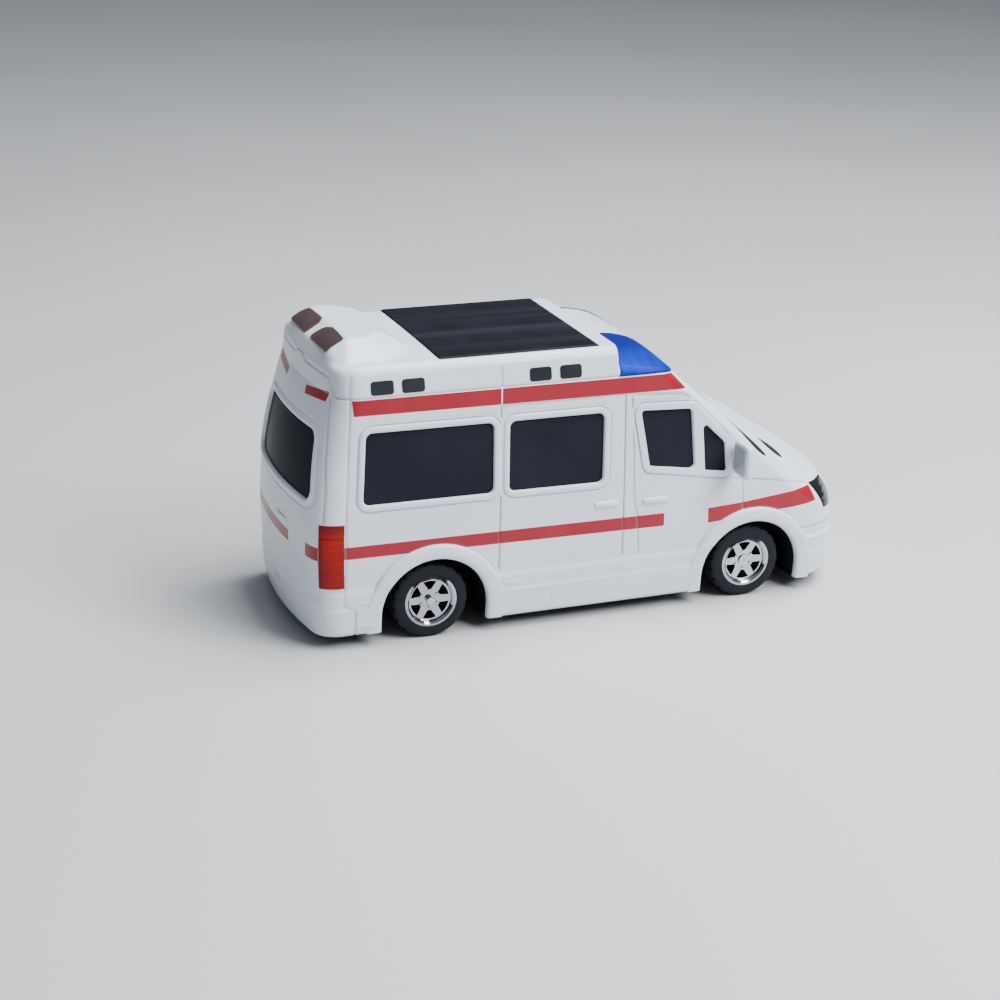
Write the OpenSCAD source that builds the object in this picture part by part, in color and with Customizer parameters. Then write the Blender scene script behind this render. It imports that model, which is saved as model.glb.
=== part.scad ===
// Toy ambulance van with a driven rear axle and steered front wheels, in millimetres.
// +X points to the nose, +Y to the left side, +Z up. The floor is z = 0.
// Places along the van are measured forward from the rear axle.

/* [Body] */
// Overall length over the bumpers
body_length = 248; // [243:1:255]
// Width over the body sides
body_width = 88; // [86:0.5:92]
// Height of the sill above the floor
sill_z = 5.5; // [5:0.1:5.8]
// Height of the seam between body and roof cap
seam_z = 102; // [100:0.5:104]
// Wall thickness of the mouldings
wall = 2; // [1.8:0.1:2.2]
// Rear axle to the back of the rear bumper
rear_overhang = 53; // [50:0.5:55]
// Radius of the bowed rear face, seen from above
rear_bow_r = 190; // [150:5:230]
// Radius of the bowed nose, seen from above
nose_bow_r = 62; // [58:1:80]
// Radius of the upright body corners
corner_r = 8; // [6:0.5:10]
// Height where the sides are widest
waist_z = 40; // [37:0.5:43]
// Inset of each side at the roof seam
side_lean = 2.4; // [1.5:0.1:3]
// Inset of each side at the sill
side_tuck = 1.4; // [0.8:0.1:2]
// Forward lean of the rear face at the roof seam
rear_lean = 10; // [8:0.5:12]
// Height where the nose reaches furthest forward
nose_z = 28; // [24:1:32]
// Backward rake of the nose at the roof seam
nose_rake = 60; // [55:1:65]
// Top of the lower skirt and bumpers
skirt_z = 25; // [23:0.5:27]
// Reach of the skirt past the body sides
skirt_out = 1.1; // [0.8:0.1:1.4]

/* [Screen and bonnet] */
// Foot of the windscreen back from the tip of the nose
cowl_back = 59; // [57:0.5:61]
// Height of the foot of the windscreen
cowl_z = 78; // [76:0.5:80]
// Slope of the windscreen
screen_angle = 41; // [39:0.5:43]
// Crown radius of the windscreen
screen_crown_r = 180; // [150:5:220]
// Slope of the bonnet
bonnet_angle = 32; // [31:0.5:33]
// Crown radius of the bonnet
bonnet_crown_r = 90; // [85:1:110]

/* [Windows] */
// Lower edge of the side windows
window_sill_z = 59.5; // [58:0.5:61]
// Upper edge of the side windows
window_top_z = 88; // [86:0.5:89]
// Corner radius of the windows
window_r = 2.5; // [1.5:0.1:3]
// Width of the raised window surround
surround_w = 2.6; // [2:0.1:2.8]
// Height of the raised window surround
surround_out = 0.5; // [0.3:0.05:0.7]
// Thickness of the glazing
glazing_t = 1.2; // [0.9:0.1:1.5]
// Depth of the window panes below the body surface
pane_depth = 0.8; // [0.5:0.1:1]
// Body side to the edge of the rear window
rear_window_margin = 12; // [11:0.5:15]
// Lower edge of the rear window
rear_window_z = 61; // [59:0.5:63]
// Upper edge of the rear window
rear_window_top = 87; // [84:0.5:89]

/* [Arches] */
// Radius of the wheel arch openings
arch_r = 22.3; // [22:0.1:23]
// Shift of the arches forward of the axles
arch_shift = 1.5; // [0:0.1:1.6]
// Height of the centre of the arches
arch_z = 12; // [11:0.5:13]
// Width of the arch flare
flare_w = 6; // [4.5:0.5:6.5]
// Reach of the flare past the body side
flare_out = 1.9; // [1.4:0.1:2.2]

/* [Roof] */
// Height of the flat roof
roof_z = 114; // [112.5:0.5:115.5]
// Inset of the roof's rounded edge from the body side
roof_inset = 4.4; // [3.8:0.1:5.2]
// Radius of the roof edge
roof_edge_r = 3; // [2.5:0.1:3.4]
// Height of the hump at the back of the roof
hump_z = 121.5; // [119:0.5:123]
// Rear edge of the roof panel, from the rear axle
panel_rear_x = 3.5; // [2:0.5:5]
// Front edge of the roof panel back from the tip of the nose
panel_front = 124; // [122:0.5:130]
// Margin between the roof panel and the roof edge
panel_margin = 4; // [3.6:0.1:7]
// Thickness of the roof panel
panel_t = 1.4; // [1:0.1:1.6]
// Height of the panel above the roof
panel_proud = 0.4; // [0.2:0.1:0.6]
// Length of one roof vent
vent_length = 9.2; // [8:0.1:10]
// Height of one roof vent
vent_height = 5.4; // [4.8:0.1:5.6]

/* [Wheels] */
// Front axle back from the tip of the nose
front_overhang = 55; // [53:0.5:57]
// Tyre radius
tyre_r = 15.7; // [15.2:0.1:16]
// Tyre width
tyre_w = 11; // [10:0.5:11.5]
// Radius of the rim under the tyre
rim_r = 10.4; // [10:0.1:10.8]
// Half track, to the middle of the tyres
half_track = 37; // [36.6:0.1:37.2]
// Count of rim spokes
spoke_count = 6; // [5:1:6]
// Radius of the axles
axle_r = 1.5; // [1.4:0.05:1.6]

/* [Chassis] */
// Thickness of the chassis floor
floor_t = 1.5; // [1.3:0.1:1.6]
// Height of the underside of the chassis
floor_z = 6; // [5.8:0.1:6.2]
// Diameter of one battery cell
cell_d = 14.2; // [13.5:0.1:14.4]
// Length of one battery cell
cell_length = 50; // [48:0.5:50.5]
// Count of battery cells
cell_count = 3; // [2:1:3]
// Rear wall of the battery box, from the rear axle
battery_x = 34; // [32:0.5:36]
// Travel of the battery door when it drops off its seat
door_drop = 4; // [3:0.5:4.5]
// Travel of the power switch
switch_travel = 4; // [3:0.5:4.5]

/* [Drive] */
// Gear module
gear_module = 0.5; // [0.48:0.01:0.5]
// Teeth of the gear on the rear axle
axle_gear_teeth = 28; // [27:1:28]
// Teeth of the large wheel of the idler
idler_wheel_teeth = 24; // [22:1:24]
// Teeth of the small wheel of the idler
idler_pinion_teeth = 10; // [10:1:11]
// Teeth of the motor pinion
motor_pinion_teeth = 10; // [10:1:11]
// Diameter of the motor can
motor_d = 20; // [19:0.5:20.5]
// Length of the motor can
motor_length = 25; // [22:0.5:26]

/* [Steering] */
// Half distance between the kingpins
kingpin_half = 25; // [24.8:0.1:25.2]
// Length of the steering arms
steer_arm = 11; // [10.5:0.1:11.5]
// Length of the servo lever
lever_arm = 12; // [11.5:0.1:12.5]

/* [Fits] */
// Radial clearance of a running shaft
run_gap = 0.06; // [0.03:0.01:0.09]
// Gap between inset pieces and their openings
inset_gap = 0.15; // [0.1:0.05:0.2]
// Gap between separate bodies
free_gap = 0.3; // [0.25:0.05:0.35]
// Backlash between gear teeth
backlash = 0.14; // [0.1:0.01:0.16]

/* [Hidden] */
$fn = 64;

white = [0.95, 0.95, 0.96];
black = [0.08, 0.08, 0.09];
glass_dark = [0.05, 0.06, 0.1];
chrome = [0.78, 0.78, 0.8];
steel = [0.6, 0.6, 0.62];
lamp_red = [0.75, 0.05, 0.05];
lens_blue = [0.05, 0.2, 0.95];
lens_brown = [0.25, 0.08, 0.08];

rear_axle_x = rear_overhang - body_length / 2;
wheelbase = body_length - rear_overhang - front_overhang;
front_axle_x = rear_axle_x + wheelbase;
rear_x = -body_length / 2;
nose_x = body_length / 2;
half_width = body_width / 2;
roof_half = half_width - roof_inset;
panel_half = roof_half - panel_margin;
rear_window_half = half_width - rear_window_margin;
axle_z = tyre_r;
floor_top = floor_z + floor_t;
outside = 40;

// Places that follow the nose, given as a distance back from its tip
function cab(back) = body_length - rear_overhang - back;
cowl_x = cab(cowl_back);
panel_length = cab(panel_front) - panel_rear_x;
// Load bay between the rear axle and the cab doors, places in it as shares of its length
bay_front = cab(113.9);
function bay(share) = bay_front * share;

// Body outline
arc_steps = 6;
corner_steps = 5;
rear_tuck = 3;
nose_tuck = 3;
body_levels = [sill_z, sill_z + 1.5, skirt_z - 2, skirt_z, nose_z + 2, waist_z, 46, 52, 58, 66, 76, 88, seam_z];
cavity_levels = [sill_z - 2, skirt_z, waist_z, 58, 76, 88, seam_z + 1];

function ramp(z, low, high) = (z - low) / (high - low);
function side_inset(z) = z < waist_z ? side_tuck * pow(ramp(z, waist_z, sill_z), 2)
    : side_lean * pow(ramp(z, waist_z, seam_z), 1.6);
function rear_inset(z) = z < waist_z ? rear_tuck * pow(ramp(z, waist_z, sill_z), 2)
    : rear_lean * pow(ramp(z, waist_z, seam_z), 2);
function nose_inset(z) = z < nose_z ? nose_tuck * pow(ramp(z, nose_z, sill_z), 2)
    : nose_rake * pow(ramp(z, nose_z, seam_z), 1.6);
function half_at(z) = half_width - side_inset(z);
function skirt_at(z) = z > skirt_z - 1 || z < sill_z + 1 ? 0 : skirt_out;

// Half outline from the middle of the rear round the left side to the middle of the nose:
// a bowed rear arc, a corner arc, the straight side, a corner arc and a bowed nose arc
function half_outline(back, front, half, bow_back, bow_front, corner) =
    let (centre_b = back + bow_back,
        corner_b = centre_b - sqrt(pow(bow_back - corner, 2) - pow(half - corner, 2)),
        turn_b = atan2(half - corner, corner_b - centre_b),
        centre_f = front - bow_front,
        corner_f = centre_f + sqrt(pow(bow_front - corner, 2) - pow(half - corner, 2)),
        turn_f = atan2(half - corner, corner_f - centre_f))
    concat(
        [for (i = [0 : arc_steps]) let (a = 180 + (turn_b - 180) * i / arc_steps)
            [centre_b + bow_back * cos(a), i == 0 ? 0 : bow_back * sin(a)]],
        [for (i = [1 : corner_steps]) let (a = turn_b + (90 - turn_b) * i / corner_steps)
            [corner_b + corner * cos(a), half - corner + corner * sin(a)]],
        [for (i = [0 : corner_steps]) let (a = 90 + (turn_f - 90) * i / corner_steps)
            [corner_f + corner * cos(a), half - corner + corner * sin(a)]],
        [for (i = [1 : arc_steps]) let (a = turn_f * (1 - i / arc_steps))
            [centre_f + bow_front * cos(a), bow_front * sin(a)]]);

function whole_outline(half) = let (n = len(half))
    concat(half, [for (i = [n - 2 : -1 : 1]) [half[i][0], -half[i][1]]]);

function body_outline(z, grow) = whole_outline(half_outline(
    rear_x + skirt_out + rear_inset(z) - grow, nose_x - skirt_out - nose_inset(z) + grow, half_at(z) + grow,
    rear_bow_r + grow, nose_bow_r + grow, corner_r + grow));

// Solid skinned through closed outlines at rising heights
module skin(loops, heights) {
    n = len(loops[0]);
    last = len(loops) - 1;
    points = [for (k = [0 : last]) for (p = loops[k]) [p[0], p[1], heights[k]]];
    walls = [for (k = [0 : last - 1]) for (i = [0 : n - 1])
        let (a = k * n + i, b = k * n + (i + 1) % n)
        for (t = [[a, b, b + n], [a, b + n, a + n]]) t];
    polyhedron(points, concat(walls,
        [[for (i = [n - 1 : -1 : 0]) i]],
        [[for (i = [0 : n - 1]) last * n + i]]));
}

module body_loft(grow = 0) {
    skin([for (z = body_levels) body_outline(z, skirt_at(z) + grow)], body_levels);
}

module cavity_loft(grow = -wall) {
    skin([for (z = cavity_levels) body_outline(z, grow)], cavity_levels);
}

// Space behind the windscreen and below the bonnet, each a crowned slope through the cowl
module slope_limit(angle, crown, grow) {
    translate([rear_axle_x + cowl_x, 0, cowl_z])
        rotate([0, angle, 0])
            translate([0, 0, -crown])
                rotate([0, 90, 0])
                    cylinder(r = crown + grow, h = 4 * body_length, center = true, $fn = 180);
}

module front_limit(grow = 0) {
    slope_limit(screen_angle, screen_crown_r, grow);
    slope_limit(bonnet_angle, bonnet_crown_r, grow);
}

// Wall of the body before anything is cut from it
module body_wall() {
    difference() {
        intersection() {
            body_loft();
            front_limit();
        }
        intersection() {
            cavity_loft();
            front_limit(-wall);
        }
    }
}

// Prism along X whose sides follow the body sides
module side_prism(grow) {
    heights = [for (z = body_levels) z];
    half = [for (z = heights) half_at(z) + grow];
    n = len(heights) - 1;
    translate([rear_x - outside, 0, 0])
        rotate([90, 0, 90])
            linear_extrude(body_length + 2 * outside)
                polygon(concat([for (i = [0 : n]) [half[i], heights[i]]],
                    [for (i = [n : -1 : 0]) [-half[i], heights[i]]]));
}

// Outline in the side view, pushed through one side of the van between two widths
module on_side(side, y_in, y_out) {
    translate([rear_axle_x, side < 0 ? -y_in : y_out, 0])
        rotate([90, 0, 0])
            linear_extrude(y_out - y_in)
                children();
}

module round_corners(r) {
    offset(r = r, $fn = 24)
        offset(delta = -r)
            children();
}

// Side windows, from the rear: load bay, sliding door, front door and quarter light
load_window = [-28, bay(0.308)];
door_window = [bay(0.388), bay(0.888)];

module rear_pane() {
    polygon([[load_window[0] - 0.8, window_sill_z], [load_window[1], window_sill_z],
        [load_window[1], window_top_z], [load_window[0] + 0.8, window_top_z]]);
}

module middle_pane() {
    polygon([[door_window[0], window_sill_z], [door_window[1], window_sill_z],
        [door_window[1], window_top_z], [door_window[0], window_top_z]]);
}

module door_pane() {
    polygon([[cab(103), window_sill_z + 3.5], [cab(82.4), window_sill_z + 1], [cab(84.6), window_top_z - 1.8],
        [cab(107.5), window_top_z - 0.6]]);
}

module quarter_pane() {
    polygon([[cab(77.4), window_sill_z - 0.5], [cab(67.8), window_sill_z - 1.5], [cab(69), window_sill_z + 10.9],
        [cab(79.4), window_top_z - 7.5]]);
}

// Both front panes in one outline, for their shared surround
module cab_panes() {
    polygon([[cab(103), window_sill_z + 3.5], [cab(77.4), window_sill_z - 0.5], [cab(67.8), window_sill_z - 1.5],
        [cab(69), window_sill_z + 10.9], [cab(79.4), window_top_z - 7.5], [cab(84.6), window_top_z - 1.8],
        [cab(107.5), window_top_z - 0.6]]);
}

module panes(grow = 0) {
    offset(delta = grow) {
        round_corners(window_r)
            rear_pane();
        round_corners(window_r)
            middle_pane();
        round_corners(window_r)
            door_pane();
        round_corners(1)
            quarter_pane();
    }
}

module surrounds(grow = 0) {
    offset(delta = grow)
        round_corners(window_r + surround_w - 0.5) {
            offset(delta = surround_w)
                rear_pane();
            offset(delta = surround_w)
                middle_pane();
            offset(delta = surround_w)
                cab_panes();
        }
}

// Door grooves in the side view
groove_w = 0.6;
groove_depth = 0.45;
corner_groove = 18.7;
fender_z = 52.4;
fender_line = 32;
module door_grooves() {
    for (x = [bay(0.349), bay(0.928), bay_front])
        translate([x - groove_w / 2, skirt_z + 0.6])
            square([groove_w, seam_z - 7 - skirt_z]);
    translate([corner_groove - rear_overhang, skirt_z + 0.6])
        square([groove_w, seam_z - skirt_z]);
    translate([cab(59), arch_z + arch_r + flare_w - 1])
        square([groove_w, fender_z + 1.6 - arch_z - arch_r - flare_w]);
    translate([cab(62), fender_z])
        square([fender_line, groove_w]);
    difference() {
        surrounds(groove_w);
        surrounds();
    }
}

module side_cut(side, depth) {
    difference() {
        on_side(side, half_width - 8, half_width + 8)
            children();
        side_prism(-depth);
    }
}

module side_raise(side, height) {
    intersection() {
        on_side(side, half_width - 5, half_width + 5)
            children();
        side_prism(height);
    }
}

// Turned ring round a wheel arch with a rounded lip, ending on the skirt
flare_drop = 1.5;
module flare(side, axle_x) {
    lip = arch_r + flare_w;
    difference() {
        translate([axle_x, side * (half_width - 2.5), arch_z])
            rotate([-90 * side, 0, 0])
                rotate_extrude($fn = 96)
                    polygon([[arch_r - 1, 0], [lip, 0], [lip, 2.6], [lip - 0.5, 2.9 + flare_out * 0.5],
                        [lip - 2.2, 2.5 + flare_out * 0.95], [arch_r + 2, 2.5 + flare_out],
                        [arch_r + 0.6, 2.5 + flare_out * 0.85], [arch_r - 1, 2.5 + flare_out * 0.4]]);
        translate([axle_x - outside, -body_width, skirt_z - flare_drop - outside])
            cube([2 * outside, 2 * body_width, outside]);
    }
}

module arch_opening(axle_x) {
    translate([axle_x, 0, arch_z])
        rotate([90, 0, 0])
            cylinder(r = arch_r, h = body_width + outside, center = true, $fn = 96);
    translate([axle_x - arch_r, -half_width - outside / 2, sill_z - outside])
        cube([2 * arch_r, body_width + outside, outside + arch_z - sill_z]);
}

// Raised door handle with a bevelled grip
module handle(side, x, z, length) {
    y = half_at(z);
    translate([rear_axle_x + x, side * (y + 0.2), z])
        hull() {
            cube([length, 0.8, 2.6], center = true);
            translate([0, side * 1, 0.3])
                cube([length - 2, 0.8, 1.4], center = true);
        }
}

// Screw bosses inside the body, two a side between the arches
boss_r = 3.4;
boss_xs = [31, wheelbase - 33];
boss_y = half_width - side_tuck - wall - boss_r - 1.2;
boss_top = 34;
screw_r = 1.2;
module body_bosses() {
    for (x = boss_xs, side = [-1, 1])
        translate([rear_axle_x + x, side * boss_y, 0])
            difference() {
                union() {
                    translate([0, 0, floor_top + inset_gap])
                        cylinder(r = boss_r, h = boss_top - floor_top);
                    translate([-0.8, side > 0 ? 0 : -boss_r - 2.8, floor_top + 3])
                        cube([1.6, boss_r + 2.8, boss_top - floor_top - 3]);
                }
                translate([0, 0, floor_top - 1])
                    cylinder(r = screw_r, h = 16);
            }
}

// Lamp shapes seen from the side and from the ends
lamp_z = [26.6, 53];
tail_lamp_l = 18;
tail_lamp_w = 4.2;
headlamp_w = 27;
module tail_lamp_space(side, grow = 0) {
    inner = half_width - tail_lamp_w - grow;
    translate([rear_x + tail_lamp_l - outside + grow, side > 0 ? inner : -inner - outside, lamp_z[0] - grow])
        cube([outside, outside, lamp_z[1] - lamp_z[0] + 2 * grow]);
}

module headlamp_space(side, grow = 0) {
    inner = half_width - headlamp_w - grow;
    translate([nose_x, side * inner, 0])
        rotate([90, 0, 0])
            mirror([0, 0, side > 0 ? 1 : 0])
                linear_extrude(2 * outside)
                    offset(delta = grow)
                        polygon([[-29, 47.5], [-23, 32.5], [15, 30], [15, 43], [-11, 49], [-19, 53], [-27, 51]]);
}

grille_half = half_width - headlamp_w - 1.5;
grille_z = [26.5, 38];
module grille_space(grow = 0) {
    translate([nose_x - 24, 0, 0])
        rotate([90, 0, 90])
            linear_extrude(60)
                offset(delta = grow)
                    round_corners(2)
                        polygon([[-grille_half, grille_z[0]], [grille_half, grille_z[0]],
                            [grille_half - 1.5, grille_z[1]], [1.5 - grille_half, grille_z[1]]]);
}

module rear_window_space(grow = 0) {
    translate([rear_x - outside, 0, 0])
        rotate([90, 0, 90])
            linear_extrude(outside + 40)
                offset(delta = grow)
                    round_corners(4)
                        polygon([[-rear_window_half - 0.6, rear_window_z], [rear_window_half + 0.6, rear_window_z],
                            [rear_window_half - 1, rear_window_top], [-rear_window_half + 1, rear_window_top]]);
}

// Windscreen outline square to the screen, foot at the cowl
module screen_space(grow = 0) {
    reach = (seam_z - cowl_z) / sin(screen_angle);
    foot = half_width - 8.5;
    translate([rear_axle_x + cowl_x, 0, cowl_z])
        rotate([0, screen_angle, 0])
            translate([0, 0, -14])
                linear_extrude(30)
                    offset(delta = grow)
                        round_corners(4)
                            polygon([[-4.5, -foot], [-4.5, foot], [3.5 - reach, foot - 2], [3.5 - reach, 2 - foot]]);
}

// Slots in the bonnet beside the foot of the screen
module bonnet_slots() {
    for (side = [-1, 1]) {
        translate([rear_axle_x + cowl_x, side * half_width, cowl_z - 33])
            linear_extrude(outside)
                polygon([[16.4, side * -15], [14.6, side * -14], [19.2, side * -7.6], [21.8, side * -8]]);
        translate([rear_axle_x + cowl_x, side * half_width, cowl_z - 33])
            linear_extrude(outside)
                polygon([[5.2, side * -19], [6, side * -19], [11.4, side * -3], [9.8, side * -3]]);
    }
}

module body_shell() {
    color(white) {
        difference() {
            union() {
                intersection() {
                    body_loft();
                    front_limit();
                }
                for (side = [-1, 1]) {
                    side_raise(side, surround_out)
                        surrounds();
                    flare(side, rear_axle_x + arch_shift);
                    flare(side, front_axle_x + arch_shift);
                    handle(side, bay(0.9125), 49.2, 12);
                    handle(side, cab(99.2), 48.7, 12.6);
                }
            }
            intersection() {
                cavity_loft();
                front_limit(-wall);
            }
            for (side = [-1, 1]) {
                on_side(side, 30, 60)
                    panes();
                side_cut(side, groove_depth)
                    door_grooves();
                tail_lamp_space(side, inset_gap);
                headlamp_space(side, inset_gap);
            }
            rear_window_space();
            screen_space();
            grille_space(inset_gap);
            bonnet_slots();
            arch_opening(rear_axle_x + arch_shift);
            arch_opening(front_axle_x + arch_shift);
        }
        body_bosses();
    }
}

// Roof cap: leaning sides, a rounded edge and a flat top, cut by the windscreen slope
edge_steps = 3;
roof_rear_lean = 1;
roof_levels = concat([seam_z, roof_z - roof_edge_r],
    [for (i = [1 : edge_steps]) roof_z - roof_edge_r * (1 - sin(90 * i / edge_steps))]);
function roof_half_at(z) = z < roof_z - roof_edge_r + 0.01
    ? half_at(seam_z) + (roof_half - half_at(seam_z)) * ramp(z, seam_z, roof_z - roof_edge_r)
    : roof_half - roof_edge_r + sqrt(max(0, pow(roof_edge_r, 2) - pow(z - roof_z + roof_edge_r, 2)));
function roof_rear_at(z) = rear_x + skirt_out + rear_lean + roof_rear_lean * ramp(z, seam_z, roof_z);
function roof_outline(z, grow) = whole_outline(half_outline(
    roof_rear_at(z) - grow, nose_x - skirt_out - nose_inset(seam_z) - ramp(z, seam_z, roof_z) + grow,
    roof_half_at(z) + grow, rear_bow_r + grow, nose_bow_r + grow, corner_r + grow));

module roof_loft(grow = 0, lift = 0) {
    skin([for (z = roof_levels) roof_outline(z, grow)], [for (z = roof_levels) z + lift]);
}

// Hump at the back of the roof: a sloped rear for the lenses and a facet down to the panel
hump_front_x = 2.5;
hump_top = [-29.5, -14];
hump_half_top = 24.5;
hump_lip_z = 116.6;
hump_lip_x = -38.6;
module hump() {
    hull() {
        translate([0, 0, roof_z - 3])
            linear_extrude(0.5)
                intersection() {
                    polygon(roof_outline(roof_z - 3, -1));
                    translate([rear_x, -body_width])
                        square([rear_overhang + hump_front_x, 2 * body_width]);
                }
        translate([rear_axle_x, 0, hump_lip_z - 0.5])
            linear_extrude(0.5)
                round_corners(3)
                    polygon([[hump_lip_x, -20], [hump_lip_x, 20], [hump_lip_x + 1.6, 27], [hump_lip_x + 10, 31],
                        [hump_lip_x + 10, -31], [hump_lip_x + 1.6, -27]]);
        translate([rear_axle_x, 0, hump_z - 0.5])
            linear_extrude(0.5)
                round_corners(3)
                    polygon([[hump_top[0], -hump_half_top], [hump_top[0], hump_half_top],
                        [hump_top[1], hump_half_top - 8], [hump_top[1], -hump_half_top + 8]]);
    }
}

lip_depth = 3;
lip_t = 1.2;
module roof_raw() {
    difference() {
        union() {
            intersection() {
                roof_loft();
                slope_limit(screen_angle, screen_crown_r, 0);
            }
            hump();
        }
        intersection() {
            roof_loft(-wall, -wall);
            slope_limit(screen_angle, screen_crown_r, -wall);
            translate([-body_length, -body_width, 0])
                cube([2 * body_length, 2 * body_width, roof_z - wall - 1.6]);
        }
    }
}

// Front corner of the roof taken by a beacon lens, seen from above
module front_lens_space(side, grow = 0) {
    translate([rear_axle_x, 0, seam_z - 1 - grow])
        mirror([0, side > 0 ? 0 : 1, 0])
            linear_extrude(outside)
                offset(delta = grow)
                    polygon([[cab(119), roof_half + outside / 2], [cab(121), roof_half - 1.1],
                        [cab(123.5), roof_half - 10.6], [cab(113), roof_half - 11], [cab(101), roof_half - 7.6], [cab(91), roof_half - 1.6],
                        [cab(83), roof_half + 4.4], [cab(83), roof_half + outside / 2]]);
}

// Rear lens outline on the sloped back of the hump, measured up the slope from its foot
rear_lens_slope = atan2(hump_z - hump_lip_z, hump_top[0] - hump_lip_x);
rear_lens_length = 9.4;
rear_lens_t = 1.6;
module rear_lens_at(side) {
    translate([rear_axle_x + hump_lip_x, 0, hump_lip_z])
        rotate([0, -rear_lens_slope, 0])
            mirror([0, side > 0 ? 0 : 1, 0])
                children();
}

module rear_lens_shape(grow = 0) {
    offset(delta = grow)
        round_corners(1.6)
            polygon([[0.5, 2.9], [0.5, 24], [rear_lens_length, 23.5], [rear_lens_length + 0.5, 14],
                [rear_lens_length + 0.5, 7], [rear_lens_length - 1.5, 4]]);
}

vent_xs = [-20.5, -8, cab(150.5), cab(137.7)];
vent_t = 1;
vent_lean = atan2(half_at(seam_z) - roof_half, roof_z - roof_edge_r - seam_z);
module vents(side, depth, grow = 0) {
    z = seam_z + 1 + vent_height / 2;
    y = roof_half_at(z);
    for (x = vent_xs)
        translate([rear_axle_x + x, side * y, z])
            rotate([side * vent_lean, 0, 0])
                translate([0, side * (0.2 - depth), 0])
                    rotate([-90 * side, 0, 0])
                        linear_extrude(depth)
                            offset(delta = grow)
                                round_corners(1.2)
                                    square([vent_length, vent_height], center = true);
}

module panel_shape(grow = 0) {
    offset(delta = grow)
        round_corners(1.5)
            translate([panel_rear_x, -panel_half])
                square([panel_length, 2 * panel_half]);
}

// Ledges under the roof that carry the beacon lamps
led_x = cab(109);
led_z = 107.5;
led_r = 2.4;
led_ledge_y = roof_half - 17.6;
module roof_cap() {
    color(white) {
        difference() {
            union() {
                roof_raw();
                // Lip that drops into the open top of the body
                difference() {
                    intersection() {
                        translate([0, 0, seam_z - lip_depth])
                            linear_extrude(lip_depth + 0.5)
                                polygon(body_outline(seam_z, -wall - inset_gap));
                        slope_limit(screen_angle, screen_crown_r, -wall - inset_gap);
                    }
                    translate([0, 0, seam_z - lip_depth - 1])
                        linear_extrude(lip_depth + 3)
                            polygon(body_outline(seam_z, -wall - inset_gap - lip_t));
                }
            }
            for (side = [-1, 1]) {
                front_lens_space(side, inset_gap);
                rear_lens_at(side)
                    translate([0, 0, -rear_lens_t])
                        linear_extrude(6)
                            rear_lens_shape(inset_gap);
                vents(side, vent_t + 0.2 + inset_gap, inset_gap);
            }
            translate([rear_axle_x, 0, roof_z + panel_proud - panel_t])
                linear_extrude(20)
                    panel_shape(inset_gap);
        }
        for (side = [-1, 1])
            translate([rear_axle_x + led_x, side * led_ledge_y, led_z])
                difference() {
                    translate([-3.5, -2, -3.5])
                        cube([7, 4, roof_z - wall - led_z + 2.5]);
                    rotate([90, 0, 0])
                        cylinder(r = led_r, h = 10, center = true);
                }
    }
}

module roof_panel() {
    color(black)
        translate([rear_axle_x, 0, roof_z + panel_proud - panel_t])
            linear_extrude(panel_t)
                panel_shape();
}

module front_beacon_lens(side) {
    color(lens_blue)
        intersection() {
            roof_raw();
            front_lens_space(side);
        }
}

// Crowned lens let into the slope
lens_crown_r = 20;
module rear_beacon_lens(side) {
    color(lens_brown)
        rear_lens_at(side)
            intersection() {
                translate([0, 0, -rear_lens_t])
                    linear_extrude(rear_lens_t + 2)
                        rear_lens_shape();
                translate([rear_lens_length / 2, 0, 0.6 - lens_crown_r])
                    rotate([-90, 0, 0])
                        cylinder(r = lens_crown_r, h = 60, $fn = 180);
            }
}

module roof_vents(side) {
    color(black)
        vents(side, vent_t);
}

// Glazing: a sheet behind the side wall with panes that fill the openings
module side_glazing(side) {
    color(glass_dark)
        union() {
            difference() {
                intersection() {
                    on_side(side, 20, 60)
                        round_corners(3)
                            polygon([[load_window[0] - 3, window_sill_z - 2.6], [cab(76), window_sill_z - 2.6],
                                [cab(76), window_top_z - 14], [cab(81.8), window_top_z + 1],
                                [load_window[0] - 3, window_top_z + 1]]);
                    side_prism(-wall - 0.1);
                }
                side_prism(-wall - glazing_t);
            }
            difference() {
                intersection() {
                    on_side(side, 20, 60)
                        panes(-inset_gap);
                    side_prism(-pane_depth);
                }
                side_prism(-wall - glazing_t);
            }
        }
}

module windscreen() {
    color(glass_dark)
        intersection() {
            difference() {
                front_limit(-0.6);
                front_limit(-wall - 0.05);
            }
            screen_space(-inset_gap);
        }
}

module rear_window() {
    color(glass_dark)
        intersection() {
            difference() {
                body_loft(-pane_depth);
                cavity_loft(-wall);
            }
            rear_window_space(-inset_gap);
            translate([rear_x - 10, -body_width, 0])
                cube([60, 2 * body_width, roof_z]);
        }
}

module tail_lamp(side) {
    color(lamp_red)
        intersection() {
            body_wall();
            tail_lamp_space(side);
        }
}

module headlamp(side) {
    color(glass_dark)
        intersection() {
            body_wall();
            headlamp_space(side);
        }
}

// Grille insert with level slats
module grille() {
    color(black)
        difference() {
            intersection() {
                body_wall();
                grille_space();
            }
            for (i = [0 : 2])
                translate([nose_x - skirt_out - 1, 2 - grille_half, grille_z[0] + 1.9 + 3.2 * i])
                    cube([8, 2 * grille_half - 4, 1.4]);
        }
}

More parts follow.
